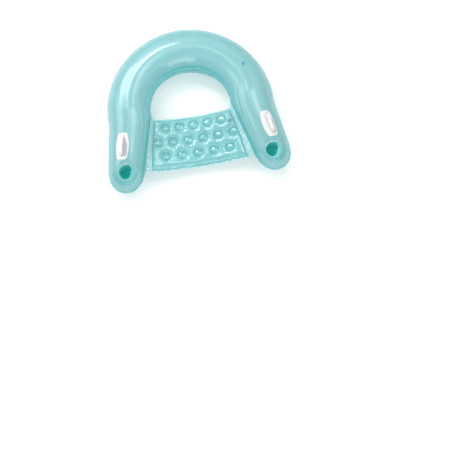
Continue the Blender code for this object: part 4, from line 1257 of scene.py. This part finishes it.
def film_waves(plan):
    """Sum of plane waves whose direction, pace and phase are drawn at random."""
    seed, count, pace_spread, last_phase = 5, 14, 70.0, 6.28
    draw = np.random.default_rng(seed)
    waves = np.zeros(len(plan))
    for _ in range(count):
        direction = draw.normal(0.0, pace_spread, 2)
        waves += np.sin(plan @ direction + draw.uniform(0.0, last_phase))
    return waves


def weld_dishes(seat, plan, centres):
    """Height over each round weld: a parabola inside it, a fine bell at its edge and a broad one
    round it, by the distance in weld radii."""
    bulge, edge_height, ring_height = 0.0030, 0.0005, 0.0009
    edge_place, edge_width, ring_place, ring_width = 0.93, 0.05, 1.42, 0.11
    dish = np.zeros(len(plan))
    for centre in centres:
        away = np.linalg.norm(plan - centre, axis=1) / seat.dimple_radius
        dish += np.clip(1.0 - away * away, 0.0, None) * bulge
        dish += edge_height * bell(away - edge_place, edge_width)
        dish += ring_height * bell(away - ring_place, ring_width)
    return dish


class POOLCHAIR_OT_seat(bpy.types.Operator):
    """Make the quilted seat and the weld round it"""
    bl_idname = "poolchair.seat"
    bl_label = "Seat"

    def execute(self, context):
        tube, seat, finish, stage = settings(context, "tube", "seat", "finish", "stage")
        columns, rows = 250, 150
        bunch_angle, bunch_share = quarter_turn * 0.86, 0.35
        wave_height, wave_level, wall_rise, disc_rise, disc_share = 0.00045, 3.0, 6.0, 5.0, 0.5
        front_frill, rear_frill, rear_share = 0.030, 0.020, 0.4
        spots, front, rear = seat_spots(tube, seat)
        share = np.linspace(-1.0, 1.0, columns + 1)
        bunched = np.sin(share * bunch_angle) / math.sin(bunch_angle)
        share = mix(share, bunched, bunch_share)
        y = np.linspace(front + seat.end_flange, rear - seat.end_flange, rows + 1)
        edge, level = seat_edge(tube, seat, y)
        wide = edge - seat.side_flange
        x_grid = share[None, :] * wide[:, None]
        shape = x_grid.shape
        y_grid = np.broadcast_to(y[:, None], shape)
        middle = level[:, None] - seat.sag * (1.0 - share[None, :] ** 2)
        plan = np.stack([x_grid, y_grid], -1).reshape(-1, 2)
        spot_wide = seat_edge(tube, seat, spots[:, 1])[0] - seat.side_flange
        centres = np.stack([spots[:, 0] * spot_wide, spots[:, 1]], -1)
        wide_grid = np.broadcast_to(wide[:, None], shape).reshape(-1)
        puff, near = seat_puff(seat, plan, centres, wide_grid, front, rear)
        wall = weld_gap / 2 + vinyl_wall
        puff = puff + wave_height * film_waves(plan) / wave_level * near
        lift = (puff + wall * smooth(near * wall_rise)).reshape(shape)
        dish = weld_dishes(seat, plan, centres).reshape(shape)
        in_front = np.clip(1.0 - (y_grid - front - seat.end_flange) / front_frill, 0.0, 1.0) ** 2
        behind = np.clip(1.0 - (rear - seat.end_flange - y_grid) / rear_frill, 0.0, 1.0) ** 2
        y_grid = y_grid + seat.frill * edge_frill(x_grid) * (in_front - rear_share * behind)
        inside = np.zeros(shape, bool)
        inside[1:-1, 1:-1] = True
        cells = grid_cells(rows + 1, columns + 1)
        sheets = []
        for rise, sheet_cells in ((1.0, cells), (-1.0, cells[:, ::-1])):
            height = middle + rise * lift + rise * wall - rise * weld_gap + rise * dish
            sheet = np.stack([x_grid, y_grid, np.where(inside, height, middle)], -1)
            sheets.append((sheet.reshape(-1, 3), sheet_cells))
        points, cells, first = merged(*joined(sheets))
        points[:, 1] += stage.bend_end
        disc = np.tile(1.0 - smooth(near * disc_rise), 2)[first] * disc_share
        quilt = new_piece("seat_quilt", points, cells, {"double_sheets_and_painted_shade": disc})
        material = vinyl("seat vinyl", finish.seat, clear_share=0.10, glow_share=0.40, roughness=0.08,
                         mask="double_sheets_and_painted_shade", deep_shares=(0.62, 0.9, 0.9), wave=0.0008, coat_roughness=0.03)
        dress(quilt, "chair", "seat_vinyl", material, "seat_top_sheet", "seat_bottom_sheet")
        self.hem(tube, seat, stage, finish, front, rear)
        return {"FINISHED"}

    def hem(self, tube, seat, stage, finish, front, rear):
        """Thin closed frame outside the seat's weld line. Its free edges wave up and down in sines,
        and those in front and behind in and out as the quilt's frill."""
        steps, thick, lift_power = 260, 0.0005, 1.5
        side_overlap, end_overlap, edge_frill_share, rear_share = 0.0015, 0.0025, 1.5, 0.4
        outline_shares = weld_outline(((0.0, 1.0), (0.5, 1.0), (0.96, 0.8)))
        y = np.linspace(front, rear, steps // 2 + 1)
        edge, level = seat_edge(tube, seat, y)
        wave = sines(y, (0.0016, 170.0, 0.0), (0.0010, 331.0, 1.0))
        strips = []
        for side in (-1.0, 1.0):
            inner = side * (edge - seat.side_flange - side_overlap)
            strips.append((np.stack([inner, y], -1), np.stack([side * edge, y], -1), level, level + wave))
        share = np.linspace(-1.0, 1.0, steps + 1)
        drift = sines(share, (2.0, 9.0, 0.0))
        wave = sines(share, (0.0016, 61.0, drift), (0.0009, 140.0, 0.0))
        for start, way, frill_share in ((front, 1.0, 1.0), (rear, -1.0, rear_share)):
            at = np.full(len(share), start)
            wide, level = seat_edge(tube, seat, at)
            x = share * wide
            middle = level - seat.sag * np.clip(1.0 - (x / (wide - seat.side_flange)) ** 2, 0.0, None)
            frill = seat.frill * edge_frill(x) * frill_share
            outer = np.stack([x, at + edge_frill_share * frill * way], -1)
            inner = np.stack([x, at + way * (seat.end_flange + end_overlap) + frill * way], -1)
            strips.append((inner, outer, middle, middle + wave))
        parts = []
        for inner, outer, low_level, high_level in strips:
            rings = []
            for out, lift in outline_shares:
                level = mix(low_level, high_level, out ** lift_power) + thick * lift
                rings.append(np.concatenate([mix(inner, outer, out), level[:, None]], -1))
            parts.append(capped(np.stack(rings, 1)))
        points, cells = merged(*joined(parts))[:2]
        points[:, 1] += stage.bend_end
        piece = new_piece("seat_weld_hem", points, cells)
        material = vinyl("hem vinyl", finish.pale, clear_share=0.05, glow_share=0.35, roughness=0.06,
                         peel=900.0)
        dress(piece, "chair", "seat_vinyl", material)


class POOLCHAIR_OT_gussets(bpy.types.Operator):
    """Make the wrinkled strips that join the seat to the arms"""
    bl_idname = "poolchair.gussets"
    bl_label = "Gussets"

    def execute(self, context):
        tube, seat, finish, stage = settings(context, "tube", "seat", "finish", "stage")
        rows, columns, sheet = 320, 40, 0.0005
        climb_power, climb_fade, overlap, peak_share = 1.5, 0.5, 0.0015, 0.92
        skew_reach, skew_pace, crown_power = 0.004, 90.0, 0.8
        material = vinyl("gusset vinyl", finish.pale, clear_share=0.06, glow_share=0.40, roughness=0.04,
                         wave=0.0004, coat=1.0, coat_roughness=0.02)
        front = seat.front_setback - tube.arm_reach
        rear = front + seat.depth
        y = np.linspace(front + seat.end_flange, rear + seat.gusset_peak, rows + 1)
        edge, level = inner_edge(tube, y)
        way = ((y - y[0]) / (y[-1] - y[0]))[:, None]
        climbing = np.clip(way[:, 0], 0.0, 1.0) ** climb_power
        climb = seat.gusset_climb * np.sin(math.pi * climbing) ** climb_fade
        outer = edge + tube.flange + climb * climb / tube.side_width
        inner = seat_edge(tube, seat, y)[0] - seat.side_flange + overlap
        inner = mix(inner, outer, np.clip((y - rear) / seat.gusset_peak, 0.0, 1.0) * peak_share)
        share = np.linspace(0.0, 1.0, columns + 1)[None, :]
        crown = np.sin(math.pi * share) ** crown_power
        x = mix(outer[:, None], inner[:, None], share)
        skew = skew_reach * crown * np.sin(y * skew_pace)[:, None]
        z = (level[:, None] + climb[:, None] * (1.0 - share) + 2 * (vinyl_wall + weld_gap)
             + crown * self.pleats(seat, way, share))
        for tag, side in (("left", -1.0), ("right", 1.0)):
            points = np.stack([side * x, np.broadcast_to(y[:, None], x.shape) + skew, z], -1).reshape(-1, 3)
            points[:, 1] += stage.bend_end
            cells = grid_cells(rows + 1, columns + 1)
            if side < 0.0:
                cells = cells[:, ::-1]
            piece = new_piece("seat_gusset_skin_" + tag, points, cells, recalculate=False)
            wall = piece.modifiers.new("Wall", "SOLIDIFY")
            wall.thickness = sheet
            wall.offset = 0.0
            dress(piece, "chair", "clear_vinyl", material, "seat_gusset_" + tag)
        return {"FINISHED"}

    def pleats(self, seat, way, share):
        """Height of the pleats: zigzags along the gusset, which wander by three sines, and slanting
        zigzags across it, which bunch by one sine. Both grow along the way to the rear."""
        ridge_share, cross_share, front_share, growth_share, turn_across = 0.40, 0.50, 0.6, 0.4, 4.0
        wander = sines(way, (1.3, 9.0, 0.0), (0.8, 23.0, 1.0), (0.3, 41.0, turn_across * share))
        bunching = sines(way, (1.0, 17.0, 0.0))
        ridge = zigzag(seat.gusset_ridges * share + wander / math.pi)
        cross = zigzag(seat.gusset_pleats * way + share + bunching / math.pi)
        height = seat.gusset_pleat * (ridge_share * ridge + cross_share * cross)
        return height * (front_share + growth_share * way)


# Valves

class POOLCHAIR_OT_valves(bpy.types.Operator):
    """Finish the air valves"""
    bl_idname = "poolchair.valves"
    bl_label = "Valves"

    def execute(self, context):
        finish = context.scene.pool_chair_finish
        blue = plastic("valve plastic", finish.valve, roughness=0.42, peel=1200.0)
        pale = plastic("valve base plastic", finish.valve_base, roughness=0.30, peel=1200.0)
        for tag in ("ring", "seat"):
            for part, finish_of_part in (("body", pale), ("cap", blue), ("flap", pale)):
                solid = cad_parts[tag + "_valve_" + part]
                solid.data.materials.clear()
                solid.data.materials.append(finish_of_part)
        return {"FINISHED"}


# Stage

def backdrop_material(colour, lift):
    """Matt floor that keeps the shadow. Camera, reflections and clear skins see it lifted to white."""
    material = bpy.data.materials.new("floor")
    material.use_nodes = True
    tree = material.node_tree
    matt = tree.nodes["Principled BSDF"]
    set_inputs(matt, {"Roughness": 0.9, "Specular IOR Level": 0.0, "Base Color": times(colour, 1.0),
                      "Emission Color": (1.0, 1.0, 1.0, 1.0)})
    path = node(tree, "ShaderNodeLightPath")
    seen = node(tree, "ShaderNodeMath", operation="MAXIMUM")
    seen_through = node(tree, "ShaderNodeMath", operation="MAXIMUM")
    strength = node(tree, "ShaderNodeMath", operation="MULTIPLY")
    strength.inputs[1].default_value = lift
    join(tree, path, "Is Camera Ray", seen, 0)
    join(tree, path, "Is Glossy Ray", seen, 1)
    join(tree, seen, 0, seen_through, 0)
    join(tree, path, "Is Transmission Ray", seen_through, 1)
    join(tree, seen_through, 0, strength, 0)
    join(tree, strength, 0, matt, "Emission Strength")
    return material


def studio_world(strength):
    """Studio walls: a bright band low above the horizon, dimmer below it and overhead. The camera
    sees them plain white."""
    world = bpy.data.worlds.new("studio")
    world.use_nodes = True
    tree = world.node_tree
    sky = tree.nodes["Background"]
    place = node(tree, "ShaderNodeTexCoord")
    parts = node(tree, "ShaderNodeSeparateXYZ")
    ramp = node(tree, "ShaderNodeValToRGB")
    ramp.color_ramp.interpolation = "EASE"
    band_shares = ((0.0, 0.6), (0.54, 0.45), (0.62, 1.0), (0.78, 1.0), (0.87, 0.36), (1.0, 0.36))
    while len(ramp.color_ramp.elements) < len(band_shares):
        ramp.color_ramp.elements.new(1.0)
    for stop, (height, level) in zip(ramp.color_ramp.elements, band_shares):
        stop.position = height
        stop.color = (level, level, level, 1.0)
    path = node(tree, "ShaderNodeLightPath")
    seen = node(tree, "ShaderNodeMix", data_type="RGBA")
    set_inputs(seen, {"B": (1.0, 1.0, 1.0, 1.0)})
    set_inputs(sky, {"Strength": strength})
    join(tree, place, "Generated", parts, 0)
    join(tree, parts, "Z", ramp, "Fac")
    join(tree, path, "Is Camera Ray", seen, "Factor")
    join(tree, ramp, "Color", seen, "A")
    join(tree, seen, "Result", sky, "Color")
    return world


def lamp(name, size, power, place, turn=0.0):
    """A soft rectangular lamp that faces the chair's middle, turned about its own axis."""
    light = bpy.data.lights.new(name, "AREA")
    light.shape = "RECTANGLE"
    light.size, light.size_y = size
    light.energy = power
    lit = bpy.data.objects.new(name, light)
    lit.location = place
    middle = Vector((0.0, 0.0, 0.15))
    facing = (middle - Vector(place)).to_track_quat("-Z", "Y").to_matrix()
    lit.rotation_euler = (facing @ Matrix.Rotation(turn, 3, "Z")).to_euler()
    bpy.context.scene.collection.objects.link(lit)


class POOLCHAIR_OT_stage(bpy.types.Operator):
    """Set the floor, the lamps and the camera"""
    bl_idname = "poolchair.stage"
    bl_label = "Stage"

    def execute(self, context):
        scene = context.scene
        stage, = settings(context, "stage")
        scene.view_settings.view_transform = "Standard"
        floor_reach = 9.0
        mesh = bpy.data.meshes.new("floor")
        corners = [(floor_reach * right, floor_reach * back, 0.0)
                   for right, back in ((-1.0, -1.0), (1.0, -1.0), (1.0, 1.0), (-1.0, 1.0))]
        mesh.from_pydata(corners, [], [(0, 1, 2, 3)])
        mesh.materials.append(backdrop_material(stage.floor, stage.floor_lift))
        floor = bpy.data.objects.new("floor", mesh)
        scene.collection.objects.link(floor)
        scene.world = studio_world(stage.sky)
        key_turn = math.radians(-52.0)
        lamp("key haze", size=(2.3, 1.3), power=14.0, place=(-1.06, 1.63, 2.36), turn=key_turn)
        lamp("key strip", size=(2.0, 0.7), power=18.0, place=(-1.02, 1.57, 2.27), turn=key_turn)
        lamp("key core", size=(0.4, 0.35), power=5.5, place=(-0.20, 1.40, 2.70))
        lamp("overhead strip", size=(1.5, 0.5), power=4.0, place=(0.10, 0.55, 2.95))
        lamp("right high panel", size=(1.0, 1.0), power=9.0, place=(1.00, 0.53, 2.82))
        lamp("left panel", size=(1.5, 1.5), power=13.0, place=(-2.10, 0.70, 1.75))
        lamp("front panel", size=(2.2, 1.2), power=24.0, place=(0.30, -2.60, 1.50))
        self.camera(scene, stage)
        return {"FINISHED"}

    def camera(self, scene, stage):
        """Camera at the photograph's angle; the chair's place off centre comes from where it aims."""
        lens = bpy.data.cameras.new("camera")
        lens.lens = stage.lens
        lens.sensor_width = 36.0
        lens.clip_end = 60.0
        azimuth, elevation = stage.azimuth, stage.elevation
        back = Vector((math.sin(azimuth) * math.cos(elevation), -math.cos(azimuth) * math.cos(elevation),
                       math.sin(elevation)))
        right = Vector((0.0, 0.0, 1.0)).cross(back).normalized()
        up = back.cross(right)
        turn = Matrix.Rotation(stage.roll, 3, back)
        right, up = turn @ right, turn @ up
        matrix = Matrix((right, up, back)).transposed().to_4x4()
        matrix.translation = (back * stage.distance - right * stage.aim_right - up * stage.aim_up
                              + Vector((0.0, stage.bend_end, 0.0)))
        view = bpy.data.objects.new("camera", lens)
        view.matrix_world = matrix
        scene.collection.objects.link(view)
        scene.camera = view


class POOLCHAIR_PT_panel(bpy.types.Panel):
    """Lists the steps that build the chair"""
    bl_idname = "POOLCHAIR_PT_panel"
    bl_label = "Pool chair"
    bl_space_type = "VIEW_3D"
    bl_region_type = "UI"
    bl_category = "Pool chair"

    def draw(self, context):
        for operator in operators:
            self.layout.operator(operator.bl_idname)
        for label in groups:
            box = self.layout.box()
            holder = getattr(context.scene, label)
            for key in holder.__annotations__:
                box.prop(holder, key)


operators = (POOLCHAIR_OT_stage, POOLCHAIR_OT_tube, POOLCHAIR_OT_cups, POOLCHAIR_OT_handles,
             POOLCHAIR_OT_seat, POOLCHAIR_OT_gussets, POOLCHAIR_OT_valves)
groups = {
    "pool_chair_tube": PoolChairTube,
    "pool_chair_puckers": PoolChairPuckers,
    "pool_chair_cups": PoolChairCups,
    "pool_chair_handles": PoolChairHandles,
    "pool_chair_seat": PoolChairSeat,
    "pool_chair_finish": PoolChairFinish,
    "pool_chair_stage": PoolChairStage,
}


def register():
    """Add the settings, the operators and the panel."""
    for label, group in groups.items():
        bpy.utils.register_class(group)
        setattr(bpy.types.Scene, label, bpy.props.PointerProperty(type=group))
    for operator in operators:
        bpy.utils.register_class(operator)
    bpy.utils.register_class(POOLCHAIR_PT_panel)


def unregister():
    """Take them out again."""
    bpy.utils.unregister_class(POOLCHAIR_PT_panel)
    for operator in reversed(operators):
        bpy.utils.unregister_class(operator)
    for label, group in groups.items():
        delattr(bpy.types.Scene, label)
        bpy.utils.unregister_class(group)


def main():
    """Build the whole chair."""
    register()
    bpy.ops.poolchair.stage()
    bpy.ops.poolchair.tube()
    bpy.ops.poolchair.cups()
    bpy.ops.poolchair.handles()
    bpy.ops.poolchair.seat()
    bpy.ops.poolchair.gussets()
    bpy.ops.poolchair.valves()


if __name__ == "__main__":
    main()
